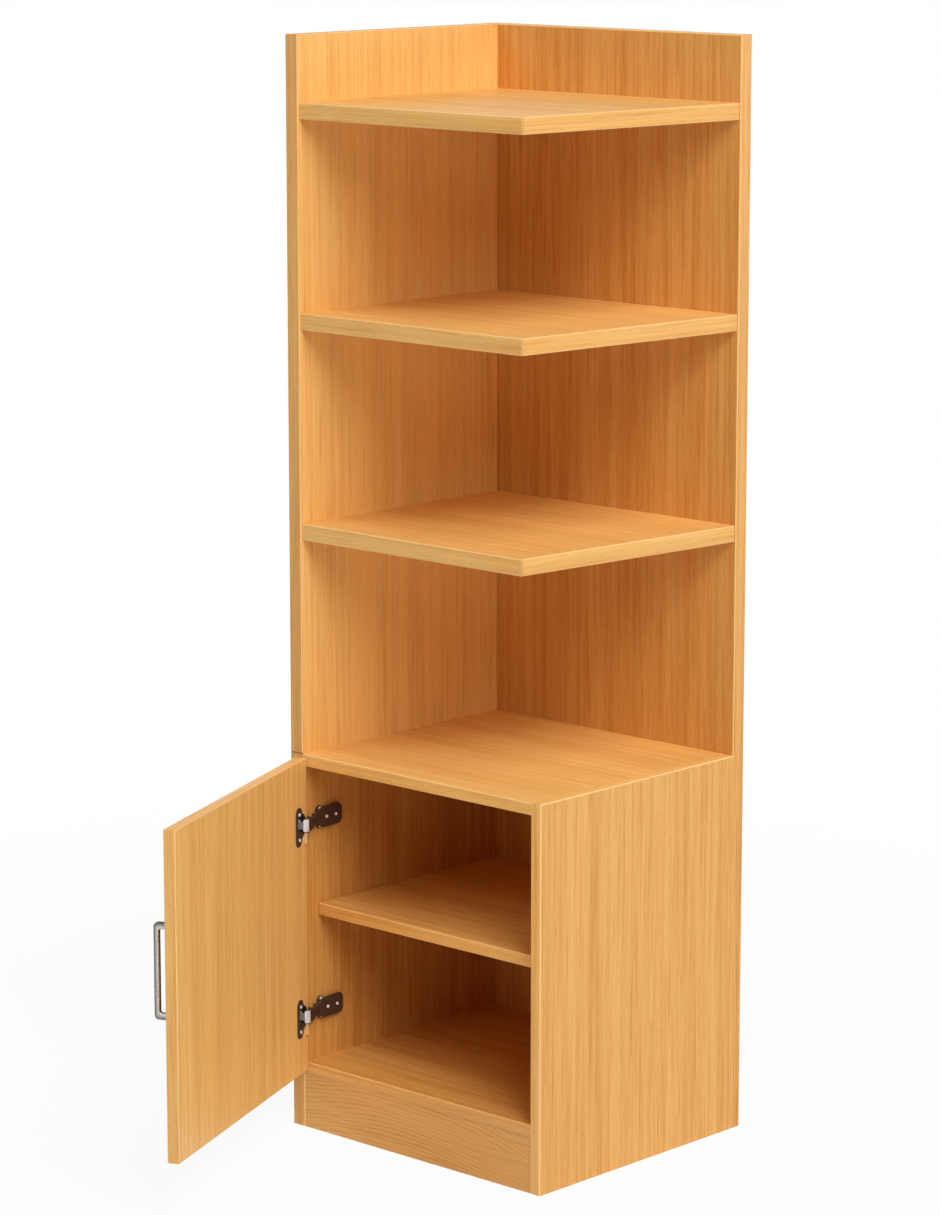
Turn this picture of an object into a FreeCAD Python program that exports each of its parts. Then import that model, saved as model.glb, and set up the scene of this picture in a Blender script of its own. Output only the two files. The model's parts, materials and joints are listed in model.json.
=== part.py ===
import FreeCAD
import Part
import math
import os
import re

# Corner shelf unit: two tall walls meet in a corner, carry three open shelves and a cabinet with one door.
# Frame: the outer back left corner on the floor is the origin, the front faces -Y, up is +Z.

# Driving sizes in millimetres, angles in degrees, shares without a unit
SIZES = {
    "unit_height": 1600,
    "unit_width": 490,
    "unit_depth": 440,
    "wall_board": 24,
    "shelf_board": 24,
    "carcass_board": 18,
    "band": 2,
    "arris": 1.6,
    "top_shelf_drop": 95,
    "upper_bay_pitch": 299,
    "middle_bay_pitch": 304,
    "cabinet_level": 564,
    "lower_space": 217,
    "plinth_height": 82,
    "plinth_recess": 1,
    "shelf_setback": 3,
    "shelf_side_setback": 2,
    "shelf_taper": 38,
    "inner_shelf_setback": 30,
    "inner_shelf_play": 1,
    "screw_length": 50,
    "screw_radius": 3.4,
    "screw_head_radius": 5,
    "screw_head_depth": 3.5,
    "screw_socket_radius": 2.3,
    "screw_socket_depth": 2.2,
    "screw_clearance": 0.1,
    "screw_tip_room": 1,
    "screw_margin": 60,
    "high_screw_share": 0.72,
    "low_screw_share": 0.32,
    "dowel_radius": 4,
    "dowel_length": 36,
    "dowel_in_side": 11,
    "dowel_clearance": 0.1,
    "seam_margin": 110,
    "high_dowel_share": 0.7,
    "low_dowel_share": 0.3,
    "cam_radius": 7.4,
    "cam_height": 12.5,
    "cam_distance": 24,
    "cam_clearance": 0.1,
    "cam_slot_room": 0.3,
    "cam_drive_width": 1.6,
    "cam_drive_length": 9,
    "cam_drive_depth": 1.5,
    "bolt_thread_radius": 3,
    "bolt_thread_length": 11,
    "bolt_stem_radius": 2.4,
    "bolt_head_radius": 3.4,
    "bolt_head_length": 3,
    "bolt_clearance": 0.1,
    "support_pin_radius": 2.5,
    "support_pin_length": 9,
    "support_lug_length": 9,
    "support_lug_width": 11,
    "support_lug_height": 6,
    "support_clearance": 0.1,
    "support_margin": 45,
    "door_overlay": 2.5,
    "door_reveal": 1.5,
    "door_gap": 3,
    "door_top_drop": 4,
    "door_bottom_overlap": 10,
    "door_opening": 67,
    "pivot_inset": 7,
    "pivot_depth": 9.5,
    "upper_hinge_drop": 97,
    "lower_hinge_rise": 85,
    "cup_radius": 17.5,
    "cup_inset": 20.5,
    "cup_depth": 12.6,
    "cup_wall": 0.8,
    "cup_rim": 0.7,
    "cup_clearance": 0.2,
    "flange_width": 22,
    "flange_height": 58,
    "flange_offset": 11,
    "flange_thickness": 1.2,
    "flange_corner": 9,
    "cup_screw_spacing": 38,
    "cup_screw_radius": 1.7,
    "cup_screw_length": 13,
    "hinge_pin_radius": 1.1,
    "hinge_pin_half": 9.9,
    "hinge_pin_clearance": 0.05,
    "eye_radius": 1.9,
    "eye_half": 5.5,
    "link_sheet": 1.4,
    "link_half": 9.5,
    "link_reach": 12.2,
    "link_nose": 12.5,
    "tongue_half": 6,
    "tongue_length": 17,
    "plate_thickness": 5,
    "wing_thickness": 2.5,
    "plate_half": 8,
    "plate_start": 18,
    "plate_end": 70,
    "wing_setback": 32,
    "wing_width": 14,
    "wing_half": 17,
    "plate_screw_spacing": 26,
    "plate_screw_length": 14,
    "plate_screw_radius": 1.9,
    "small_head_radius": 3.6,
    "small_head_depth": 1.6,
    "small_slot_width": 1,
    "small_slot_depth": 0.8,
    "small_screw_clearance": 0.1,
    "arm_thickness": 3,
    "arm_neck_half": 7,
    "arm_head_half": 15.5,
    "arm_tip_half": 10,
    "arm_start": 2,
    "arm_flare_start": 12,
    "arm_flare_end": 38,
    "arm_tip_start": 64,
    "arm_end": 73,
    "arm_screw_first": 41,
    "arm_screw_second": 60,
    "arm_screw_length": 7,
    "arm_screw_radius": 2.2,
    "handle_rise": 26,
    "handle_spacing": 128,
    "handle_margin": 36,
    "handle_projection": 31,
    "handle_width": 8,
    "handle_bar": 8,
    "handle_arm": 9.5,
    "handle_corner": 6,
    "handle_inner_corner": 3,
    "handle_screw_radius": 1.9,
    "handle_screw_bite": 10,
    "handle_head_radius": 3.8,
    "handle_head_depth": 2,
    "handle_screw_clearance": 0.1,
    "handle_cap_depth": 1.5,
    "recess_share": 0.6,
    "overrun": 5,
}

doc = FreeCAD.newDocument("corner_shelf_unit")
sheet = doc.addObject("Spreadsheet::Sheet", "sizes")
for row, (alias, value) in enumerate(SIZES.items(), start=1):
    sheet.set(f"A{row}", alias)
    sheet.set(f"B{row}", str(value))
    sheet.setAlias(f"B{row}", alias)
doc.recompute()

AXIS_X = FreeCAD.Vector(1, 0, 0)
AXIS_Y = FreeCAD.Vector(0, 1, 0)
AXIS_Z = FreeCAD.Vector(0, 0, 1)
QUARTER = 90
HALF_TURN = 180
# A rod is drawn along +Z and turned to the direction it is driven in
TURNS = {
    "+z": FreeCAD.Rotation(),
    "-z": FreeCAD.Rotation(AXIS_X, HALF_TURN),
    "+x": FreeCAD.Rotation(AXIS_Y, QUARTER),
    "-x": FreeCAD.Rotation(AXIS_Y, -QUARTER),
    "+y": FreeCAD.Rotation(AXIS_X, -QUARTER),
    "-y": FreeCAD.Rotation(AXIS_X, QUARTER),
}
NODES = []
count = {"made": 0}
CLOSE = 0.02
SQUARE = 0.9


def rule(text):
    """Writes a sum of size names as an expression on the sheet."""
    return re.sub(r"[a-z_]+", lambda m: "sizes." + m.group() if m.group() in SIZES else m.group(), text)


def fresh(word):
    """Gives each helper object a name of its own."""
    count["made"] += 1
    return f"{word}_{count['made']}"


def bind(obj, pairs):
    """Ties each property to its expression."""
    for prop, text in pairs:
        obj.setExpression(prop, rule(text))
    return obj


def put(obj, x, y, z, turn="+z"):
    """Places an object at three sums of sizes, turned to a direction."""
    obj.Placement = FreeCAD.Placement(FreeCAD.Vector(), TURNS[turn])
    return bind(obj, (("Placement.Base.x", x), ("Placement.Base.y", y), ("Placement.Base.z", z)))


def hang(obj):
    """Turns a piece drawn about the hinge axis to the open door's place."""
    swing = FreeCAD.Rotation(-AXIS_Z, SIZES["door_opening"])
    obj.Placement = FreeCAD.Placement(FreeCAD.Vector(), swing)
    bind(obj, (("Placement.Base.x", HINGE_X), ("Placement.Base.y", HINGE_Y)))
    return bind(obj, (("Placement.Rotation.Angle", "door_opening"),))


def block(x, y, z, length, width, height):
    """A box from its lowest corner."""
    obj = doc.addObject("Part::Box", fresh("block"))
    bind(obj, (("Length", length), ("Width", width), ("Height", height)))
    return put(obj, x, y, z)


def rod(x, y, z, radius, length, turn="+z"):
    """A round bar driven from its start point."""
    obj = doc.addObject("Part::Cylinder", fresh("rod"))
    bind(obj, (("Radius", radius), ("Height", length)))
    return put(obj, x, y, z, turn)


def shaped(obj, front, back, near, far):
    """Sizes a wedge: front and back faces are (x low, x high, z low, z high), at y near and y far."""
    bind(obj, (("Xmin", front[0]), ("Xmax", front[1]), ("Zmin", front[2]), ("Zmax", front[3])))
    bind(obj, (("X2min", back[0]), ("X2max", back[1]), ("Z2min", back[2]), ("Z2max", back[3])))
    return bind(obj, (("Ymin", near), ("Ymax", far)))


def wedge(front, back, near, far):
    """A block whose front and back faces differ."""
    return shaped(doc.addObject("Part::Wedge", fresh("wedge")), front, back, near, far)


def joined(parts):
    """Fuses parts into one."""
    obj = doc.addObject("Part::MultiFuse", fresh("joined"))
    obj.Shapes = parts
    obj.Refine = True
    return obj


def bored(base, tools):
    """Takes all the tools away from the base."""
    obj = doc.addObject("Part::Cut", fresh("bored"))
    obj.Base = base
    obj.Tool = joined(tools) if len(tools) > 1 else tools[0]
    return obj


def gathered(parts):
    """Keeps several solids side by side in one node."""
    obj = doc.addObject("Part::Compound", fresh("gathered"))
    obj.Links = parts
    return obj


def node(label, obj):
    """Names a finished piece."""
    obj.Label = label
    NODES.append(obj)
    return obj


def outer_edges(shape, outward, along):
    """Names the edges that run along an axis on the side that looks outward."""
    middle = shape.BoundBox.Center
    names = []
    for number, edge in enumerate(shape.Edges, start=1):
        run = edge.Vertexes[-1].Point.sub(edge.Vertexes[0].Point)
        outside = edge.CenterOfMass.sub(middle).dot(outward) > 0
        if outside and abs(run.dot(along)) > SQUARE * edge.Length:
            names.append(f"Edge{number}")
    return names


def rounded(body, core, edges, radius):
    """Rounds edges of a body's last form."""
    soft = body.newObject("PartDesign::Fillet", fresh("rounding"))
    soft.Base = (core, edges)
    bind(soft, (("Radius", radius),))
    doc.recompute()
    return soft


def strip(x, y, z, length, width, height, outward, along):
    """A straight edge band whose two outer arrises are rounded."""
    body = doc.addObject("PartDesign::Body", fresh("strip"))
    core = body.newObject("PartDesign::AdditiveBox", fresh("core"))
    bind(core, (("Length", length), ("Width", width), ("Height", height)))
    put(body, x, y, z)
    doc.recompute()
    rounded(body, core, outer_edges(core.Shape, outward, along), "arris")
    return body


def slant_strip(front, back, near, far, outward, along):
    """An edge band with slanted ends or a slanted run, its two outer arrises rounded."""
    body = doc.addObject("PartDesign::Body", fresh("strip"))
    core = shaped(body.newObject("PartDesign::AdditiveWedge", fresh("core")), front, back, near, far)
    doc.recompute()
    rounded(body, core, outer_edges(core.Shape, outward, along), "arris")
    return body


def panel_screw(x, y, z, turn):
    """A board screw with a sunk flat head and a hexagon socket, its head flush at the start point."""
    head = rod("0", "0", "0", "screw_head_radius", "screw_head_depth")
    shank = rod("0", "0", "0", "screw_radius", "screw_length")
    socket = doc.addObject("Part::Prism", fresh("socket"))
    bind(socket, (("Circumradius", "screw_socket_radius"), ("Height", "overrun + screw_socket_depth")))
    put(socket, "0", "0", "-overrun")
    return put(bored(joined([head, shank]), [socket]), x, y, z, turn)


def screw_bore(x, y, z, turn):
    """The sunk hole of a board screw through a wall, from the face it is driven into."""
    head = rod(x, y, z, "screw_head_radius + screw_clearance", "screw_head_depth", turn)
    shank = rod(x, y, z, "screw_radius + screw_clearance", "screw_length", turn)
    return [head, shank]


def screw_pilot(x, y, z, turn):
    """The hole of a board screw in the edge of the board behind a wall."""
    return rod(x, y, z, "screw_radius + screw_clearance", "screw_length + screw_tip_room", turn)


def small_screw(x, y, z, turn, radius, length, head_radius, head_depth):
    """A small screw whose head seats at the start point, with a cross recess."""
    head = rod("0", "0", f"-({head_depth})", head_radius, head_depth)
    shank = rod("0", "0", "0", radius, length)
    reach = f"{head_radius} * recess_share"
    top = f"-({head_depth}) - overrun"
    deep = "overrun + small_slot_depth"
    slot_a = block(f"-({reach})", "-small_slot_width / 2", top, f"2 * {reach}", "small_slot_width", deep)
    slot_b = block("-small_slot_width / 2", f"-({reach})", top, "small_slot_width", f"2 * {reach}", deep)
    return put(bored(joined([head, shank]), [slot_a, slot_b]), x, y, z, turn)


# Lines that several pieces share
FRONT = "(-unit_depth)"
BAND_LINE = "(band - unit_depth)"
BACK = "(-wall_board)"
BOARD_RUN = "(unit_depth - band - wall_board)"
RIGHT = "(unit_width - carcass_board)"
BAY_WIDTH = "(unit_width - carcass_board - wall_board)"
FRONT_ROW = "(screw_margin - unit_depth)"
REAR_ROW = "(-wall_board - screw_margin)"
MIDDLE_ROW = "(-(unit_depth + wall_board) / 2)"
LEFT_COLUMN = "(wall_board + screw_margin)"
RIGHT_COLUMN = "(unit_width - carcass_board - screw_margin)"
HALF_WALL = "(wall_board / 2)"
TOP_MIDDLE = "(cabinet_level - carcass_board / 2)"
BOTTOM_MIDDLE = "(plinth_height + carcass_board / 2)"
HIGH_ROW = "(cabinet_level * high_screw_share)"
LOW_ROW = "(cabinet_level * low_screw_share)"
TOP_SHELF = "(unit_height - top_shelf_drop)"
MIDDLE_SHELF = f"({TOP_SHELF} - upper_bay_pitch)"
LOWER_SHELF = f"({MIDDLE_SHELF} - middle_bay_pitch)"
SHELVES = {"top_shelf": TOP_SHELF, "middle_shelf": MIDDLE_SHELF, "lower_shelf": LOWER_SHELF}
SHELF_MIDDLES = [f"({level} - shelf_board / 2)" for level in SHELVES.values()]
WALL_ROWS = [
    f"(({TOP_SHELF} + {MIDDLE_SHELF}) / 2)",
    f"(({MIDDLE_SHELF} + {LOWER_SHELF}) / 2)",
    f"(({LOWER_SHELF} + cabinet_level) / 2)",
]
INNER_LOW = "(plinth_height + carcass_board + lower_space)"
DOOR_LOW = "(plinth_height + carcass_board - door_bottom_overlap)"
DOOR_HIGH = "(cabinet_level - door_top_drop)"
DOOR_HEIGHT = f"({DOOR_HIGH} - {DOOR_LOW})"
HINGE_X = "(wall_board - door_overlay + pivot_inset)"
HINGE_Y = "(-unit_depth - door_gap - pivot_depth)"
HINGES = {"upper": f"({DOOR_HIGH} - upper_hinge_drop)", "lower": f"({DOOR_LOW} + lower_hinge_rise)"}
PLATE_Y = "(wing_setback - unit_depth)"
ARM_X = "(wall_board + plate_thickness)"
ARM_TOP = "(wall_board + plate_thickness + arm_thickness)"
ARM_ROWS = ["(arm_screw_first - unit_depth)", "(arm_screw_second - unit_depth)"]
SIGNS = ("+", "-")

# Joinery places
left_upper_spots = [(y, z) for z in SHELF_MIDDLES for y in (FRONT_ROW, REAR_ROW)]
left_lower_spots = [(y, z) for z in (TOP_MIDDLE, BOTTOM_MIDDLE) for y in (FRONT_ROW, REAR_ROW)]
back_shelf_spots = [(x, z) for z in SHELF_MIDDLES for x in (LEFT_COLUMN, RIGHT_COLUMN)]
back_carcass_spots = [(x, z) for z in (TOP_MIDDLE, BOTTOM_MIDDLE) for x in (LEFT_COLUMN, RIGHT_COLUMN)]
back_wall_spots = [(HALF_WALL, z) for z in WALL_ROWS]
back_left_spots = [(HALF_WALL, z) for z in (HIGH_ROW, LOW_ROW)]
back_right_spots = [("(unit_width - carcass_board / 2)", z) for z in (HIGH_ROW, LOW_ROW)]
back_spots = back_shelf_spots + back_carcass_spots + back_wall_spots + back_left_spots + back_right_spots
seam_rows = ["(seam_margin - unit_depth)", "(-wall_board - seam_margin)"]
plinth_y = "(plinth_recess + carcass_board / 2 - unit_depth)"
plinth_rows = ["(plinth_height * high_dowel_share)", "(plinth_height * low_dowel_share)"]
support_rows = ["(inner_shelf_setback + support_margin - unit_depth)", "(-wall_board - support_margin)"]
support_z = f"({INNER_LOW} - support_lug_height / 2)"
plate_rows = [f"({level} {s} plate_screw_spacing / 2)" for level in HINGES.values() for s in SIGNS]
plate_spots = [(PLATE_Y, z) for z in plate_rows]
DOWEL_HOLE = "dowel_radius + dowel_clearance"
SUPPORT_HOLE = "support_pin_radius + support_clearance"
IN_BOARD = "(dowel_length - dowel_in_side)"
HALF_DOWEL = "(dowel_length / 2)"
SEAM_LOW = f"(cabinet_level - {HALF_DOWEL})"


def back_pilot(x, z):
    """The pilot of a screw driven from the rear face."""
    return screw_pilot(x, "0", z, "-y")


def left_pilot(y, z):
    """The pilot of a screw driven from the outer left face."""
    return screw_pilot("0", y, z, "+x")


def side_dowel_in_board(y, z):
    """The dowel hole in the right end of a board."""
    return rod(RIGHT, y, z, DOWEL_HOLE, IN_BOARD, "-x")


# Left wall above the cabinet
wall_rise = "unit_height - band - cabinet_level"
upper_left = block("0", BAND_LINE, "cabinet_level", "wall_board", BOARD_RUN, wall_rise)
tools = [part for y, z in left_upper_spots for part in screw_bore("0", y, z, "+x")]
tools += [back_pilot(x, z) for x, z in back_wall_spots]
tools += [rod(HALF_WALL, y, "cabinet_level", DOWEL_HOLE, HALF_DOWEL) for y in seam_rows]
node("upper_left_panel", bored(upper_left, tools))
front_run = "unit_height - cabinet_level"
front_strip = strip("0", FRONT, "cabinet_level", "wall_board", "band", front_run, -AXIS_Y, AXIS_Z)
top_strip = strip("0", BAND_LINE, "unit_height - band", "wall_board", BOARD_RUN, "band", AXIS_Z, AXIS_Y)
node("upper_left_panel_edging", gathered([front_strip, top_strip]))

# Left side of the cabinet, under the seam
left_side = block("0", BAND_LINE, "0", "wall_board", BOARD_RUN, "cabinet_level")
tools = [part for y, z in left_lower_spots for part in screw_bore("0", y, z, "+x")]
tools += [back_pilot(x, z) for x, z in back_left_spots]
tools += [rod(HALF_WALL, y, SEAM_LOW, DOWEL_HOLE, HALF_DOWEL) for y in seam_rows]
tools += [rod("wall_board", plinth_y, z, DOWEL_HOLE, "dowel_in_side", "-x") for z in plinth_rows]
tools += [rod("wall_board", y, support_z, SUPPORT_HOLE, "support_pin_length", "-x") for y in support_rows]
plate_hole = "plate_screw_radius + small_screw_clearance"
tools += [rod("wall_board", y, z, plate_hole, "plate_screw_length", "-x") for y, z in plate_spots]
node("cabinet_left_side", bored(left_side, tools))
front_strip = strip("0", FRONT, "0", "wall_board", "band", "cabinet_level", -AXIS_Y, AXIS_Z)
node("cabinet_left_side_edging", gathered([front_strip]))

# Back panel, one board from the floor to the top
back = block("0", BACK, "0", "unit_width - band", "wall_board", "unit_height - band")
tools = [part for x, z in back_spots for part in screw_bore(x, "0", z, "-y")]
node("back_panel", bored(back, tools))
right_strip = strip("unit_width - band", BACK, "0", "band", "wall_board", "unit_height", AXIS_X, AXIS_Z)
top_strip = strip("0", BACK, "unit_height - band", "unit_width - band", "wall_board", "band", AXIS_Z, AXIS_X)
node("back_panel_edging", gathered([right_strip, top_strip]))

# Right side of the cabinet
cam_rows = [(y, z) for z in (TOP_MIDDLE, BOTTOM_MIDDLE) for y in (FRONT_ROW, REAR_ROW)]
dowel_rows = [(MIDDLE_ROW, TOP_MIDDLE), (MIDDLE_ROW, BOTTOM_MIDDLE)]
right_side = block(RIGHT, BAND_LINE, "0", "carcass_board", BOARD_RUN, "cabinet_level - band")
bolt_hole = "bolt_thread_radius + bolt_clearance"
tools = [rod(RIGHT, y, z, bolt_hole, "bolt_thread_length", "+x") for y, z in cam_rows]
tools += [rod(RIGHT, y, z, DOWEL_HOLE, "dowel_in_side", "+x") for y, z in dowel_rows]
tools += [rod(RIGHT, plinth_y, z, DOWEL_HOLE, "dowel_in_side", "+x") for z in plinth_rows]
tools += [rod(RIGHT, y, support_z, SUPPORT_HOLE, "support_pin_length", "+x") for y in support_rows]
tools += [back_pilot(x, z) for x, z in back_right_spots]
node("cabinet_right_side", bored(right_side, tools))
front_strip = strip(RIGHT, FRONT, "0", "carcass_board", "band", "cabinet_level", -AXIS_Y, AXIS_Z)
top_low = "cabinet_level - band"
top_strip = strip(RIGHT, BAND_LINE, top_low, "carcass_board", BOARD_RUN, "band", AXIS_Z, AXIS_Y)
node("cabinet_right_side_edging", gathered([front_strip, top_strip]))

# Open shelves, each drawn in at its free front corner
SHELF_FRONT = "(shelf_setback - unit_depth)"
SHELF_LINE = "(shelf_setback + band - unit_depth)"
SHELF_RUN = "(unit_depth - wall_board - shelf_setback)"
SHELF_RIGHT = "(unit_width - shelf_side_setback)"
SHELF_CORNER = "(unit_width - shelf_side_setback - shelf_taper)"
SHELF_AT_LINE = f"({SHELF_RIGHT} - shelf_taper * ({SHELF_RUN} - band) / {SHELF_RUN})"
for name, level in SHELVES.items():
    low = f"({level} - shelf_board)"
    middle = f"({level} - shelf_board / 2)"
    near_face = ("wall_board", f"{SHELF_AT_LINE} - band", low, level)
    far_face = ("wall_board", f"{SHELF_RIGHT} - band", low, level)
    tools = [left_pilot(y, middle) for y in (FRONT_ROW, REAR_ROW)]
    tools += [back_pilot(x, middle) for x in (LEFT_COLUMN, RIGHT_COLUMN)]
    node(name, bored(wedge(near_face, far_face, SHELF_LINE, BACK), tools))
    near_face = ("wall_board", SHELF_CORNER, low, level)
    far_face = ("wall_board", SHELF_AT_LINE, low, level)
    front_strip = slant_strip(near_face, far_face, SHELF_FRONT, SHELF_LINE, -AXIS_Y, AXIS_X)
    near_face = (f"{SHELF_AT_LINE} - band", SHELF_AT_LINE, low, level)
    far_face = (f"{SHELF_RIGHT} - band", SHELF_RIGHT, low, level)
    right_strip = slant_strip(near_face, far_face, SHELF_LINE, BACK, AXIS_X, AXIS_Y)
    node(f"{name}_edging", gathered([front_strip, right_strip]))

# Cabinet top and bottom, set between the sides
CAM_X = "(unit_width - carcass_board - cam_distance)"
cam_locks = []
cam_bolts = []
for name, low, middle in (
    ("cabinet_top", "(cabinet_level - carcass_board)", TOP_MIDDLE),
    ("cabinet_bottom", "plinth_height", BOTTOM_MIDDLE),
):
    board = block("wall_board", BAND_LINE, low, BAY_WIDTH, BOARD_RUN, "carcass_board")
    tools = [left_pilot(y, middle) for y in (FRONT_ROW, REAR_ROW)]
    tools += [back_pilot(x, middle) for x in (LEFT_COLUMN, RIGHT_COLUMN)]
    tools += [side_dowel_in_board(MIDDLE_ROW, middle)]
    for y in (FRONT_ROW, REAR_ROW):
        pocket_radius = "cam_radius + cam_clearance"
        tools += [rod(CAM_X, y, f"{low} - overrun", pocket_radius, "cam_height + overrun")]
        tools += [rod(CAM_X, y, middle, "bolt_head_radius + bolt_clearance", "cam_distance + overrun", "+x")]
        cam = rod(CAM_X, y, low, "cam_radius", "cam_height")
        wide = "(bolt_head_radius + cam_slot_room)"
        slim = "(bolt_stem_radius + cam_slot_room)"
        rear = f"{CAM_X} - bolt_head_length - cam_slot_room"
        well = block(rear, f"{y} - {wide}", f"{middle} - {wide}", "bolt_head_length + cam_slot_room",
                     f"2 * {wide}", f"2 * {wide}")
        neck = block(CAM_X, f"{y} - {slim}", f"{middle} - {slim}", "cam_radius + overrun",
                     f"2 * {slim}", f"2 * {slim}")
        drive_low = f"{low} - overrun"
        drive_deep = "overrun + cam_drive_depth"
        drive_a = block(f"{CAM_X} - cam_drive_length / 2", f"{y} - cam_drive_width / 2", drive_low,
                        "cam_drive_length", "cam_drive_width", drive_deep)
        drive_b = block(f"{CAM_X} - cam_drive_width / 2", f"{y} - cam_drive_length / 2", drive_low,
                        "cam_drive_width", "cam_drive_length", drive_deep)
        cam_locks.append(bored(cam, [well, neck, drive_a, drive_b]))
        thread = rod(RIGHT, y, middle, "bolt_thread_radius", "bolt_thread_length", "+x")
        stem = rod(CAM_X, y, middle, "bolt_stem_radius", "cam_distance", "+x")
        head = rod(CAM_X, y, middle, "bolt_head_radius", "bolt_head_length", "-x")
        cam_bolts.append(joined([thread, stem, head]))
    node(name, bored(board, tools))
    front_strip = strip("wall_board", FRONT, low, BAY_WIDTH, "band", "carcass_board", -AXIS_Y, AXIS_X)
    node(f"{name}_edging", gathered([front_strip]))
node("cam_locks", gathered(cam_locks))
node("cam_bolts", gathered(cam_bolts))

# Shelf inside the cabinet, lying on four supports
INNER_LEFT = "(wall_board + inner_shelf_play)"
INNER_WIDTH = f"({BAY_WIDTH} - 2 * inner_shelf_play)"
INNER_FRONT = "(inner_shelf_setback - unit_depth)"
INNER_LINE = f"({INNER_FRONT} + band)"
inner_run = "unit_depth - wall_board - inner_shelf_play - inner_shelf_setback - band"
inner_shelf = block(INNER_LEFT, INNER_LINE, INNER_LOW, INNER_WIDTH, inner_run, "carcass_board")
node("cabinet_shelf", inner_shelf)
front_strip = strip(INNER_LEFT, INNER_FRONT, INNER_LOW, INNER_WIDTH, "band", "carcass_board", -AXIS_Y, AXIS_X)
node("cabinet_shelf_edging", gathered([front_strip]))
supports = []
LUG = ("support_lug_length", "support_lug_width", "support_lug_height")
for y in support_rows:
    lug_low = f"{INNER_LOW} - support_lug_height"
    lug_near = f"{y} - support_lug_width / 2"
    lug = block("wall_board", lug_near, lug_low, *LUG)
    pin = rod("wall_board", y, support_z, "support_pin_radius", "support_pin_length", "-x")
    supports.append(joined([lug, pin]))
    lug = block(f"{RIGHT} - support_lug_length", lug_near, lug_low, *LUG)
    pin = rod(RIGHT, y, support_z, "support_pin_radius", "support_pin_length", "+x")
    supports.append(joined([lug, pin]))
node("shelf_supports", gathered(supports))

# Plinth between the sides
plinth = block("wall_board", "plinth_recess - unit_depth", "0", BAY_WIDTH, "carcass_board", "plinth_height")
tools = [rod("wall_board", plinth_y, z, DOWEL_HOLE, IN_BOARD, "+x") for z in plinth_rows]
tools += [rod(RIGHT, plinth_y, z, DOWEL_HOLE, IN_BOARD, "-x") for z in plinth_rows]
node("plinth", bored(plinth, tools))

# Screws and dowels that hold the carcass
left_spots = left_upper_spots + left_lower_spots
node("left_wall_screws", gathered([panel_screw("0", y, z, "+x") for y, z in left_spots]))
node("back_panel_screws", gathered([panel_screw(x, "0", z, "-y") for x, z in back_spots]))
seam_dowels = [rod(HALF_WALL, y, SEAM_LOW, "dowel_radius", "dowel_length") for y in seam_rows]
node("wall_seam_dowels", gathered(seam_dowels))
left_start = "wall_board - dowel_in_side"
right_start = f"{RIGHT} - {IN_BOARD}"
side_dowels = [rod(right_start, y, z, "dowel_radius", "dowel_length", "+x") for y, z in dowel_rows]
node("right_side_dowels", gathered(side_dowels))
plinth_spots = [(x, z) for x in (left_start, right_start) for z in plinth_rows]
plinth_dowels = [rod(x, plinth_y, z, "dowel_radius", "dowel_length", "+x") for x, z in plinth_spots]
node("plinth_dowels", gathered(plinth_dowels))

# Door, drawn shut about the hinge axis and hung open
DOOR_LEFT = "(-pivot_inset)"
DOOR_WIDTH = "(unit_width - door_reveal - wall_board + door_overlay)"
DOOR_OUT = "(pivot_depth - carcass_board)"
CORE_LEFT = f"({DOOR_LEFT} + band)"
CORE_WIDTH = f"({DOOR_WIDTH} - 2 * band)"
CUP_X = "(cup_inset - pivot_inset)"
CUP_SCREW_X = "(cup_inset - pivot_inset + flange_offset)"
HANDLE_X = f"({DOOR_WIDTH} - pivot_inset - handle_margin)"
HANDLE_LEVEL = f"(({DOOR_LOW} + {DOOR_HIGH}) / 2 + handle_rise)"
cup_rows = [f"({level} {s} cup_screw_spacing / 2)" for level in HINGES.values() for s in SIGNS]
handle_rows = [f"({HANDLE_LEVEL} {s} handle_spacing / 2)" for s in SIGNS]
core_low = f"{DOOR_LOW} + band"
core_height = f"{DOOR_HEIGHT} - 2 * band"
door = block(CORE_LEFT, DOOR_OUT, core_low, CORE_WIDTH, "carcass_board", core_height)
cup_hole = "cup_radius + cup_clearance"
tools = [rod(CUP_X, "pivot_depth", z, cup_hole, "cup_depth + cup_clearance", "-y") for z in HINGES.values()]
cup_screw_hole = "cup_screw_radius + small_screw_clearance"
tools += [rod(CUP_SCREW_X, "pivot_depth", z, cup_screw_hole, "cup_screw_length", "-y") for z in cup_rows]
handle_hole = "handle_screw_radius + handle_screw_clearance"
sunk_hole = "handle_head_radius + handle_screw_clearance"
door_through = "carcass_board + 2 * overrun"
tools += [rod(HANDLE_X, "pivot_depth + overrun", z, handle_hole, door_through, "-y") for z in handle_rows]
sunk_depth = "handle_head_depth + handle_cap_depth"
tools += [rod(HANDLE_X, "pivot_depth", z, sunk_hole, sunk_depth, "-y") for z in handle_rows]
node("door", hang(bored(door, tools)))
hinge_strip = strip(DOOR_LEFT, DOOR_OUT, DOOR_LOW, "band", "carcass_board", DOOR_HEIGHT, -AXIS_X, AXIS_Z)
free_left = f"{CORE_LEFT} + {CORE_WIDTH}"
free_strip = strip(free_left, DOOR_OUT, DOOR_LOW, "band", "carcass_board", DOOR_HEIGHT, AXIS_X, AXIS_Z)
low_strip = strip(CORE_LEFT, DOOR_OUT, DOOR_LOW, CORE_WIDTH, "carcass_board", "band", -AXIS_Z, AXIS_X)
high_low = f"{DOOR_HIGH} - band"
high_strip = strip(CORE_LEFT, DOOR_OUT, high_low, CORE_WIDTH, "carcass_board", "band", AXIS_Z, AXIS_X)
node("door_edging", hang(gathered([hinge_strip, free_strip, low_strip, high_strip])))

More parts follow.
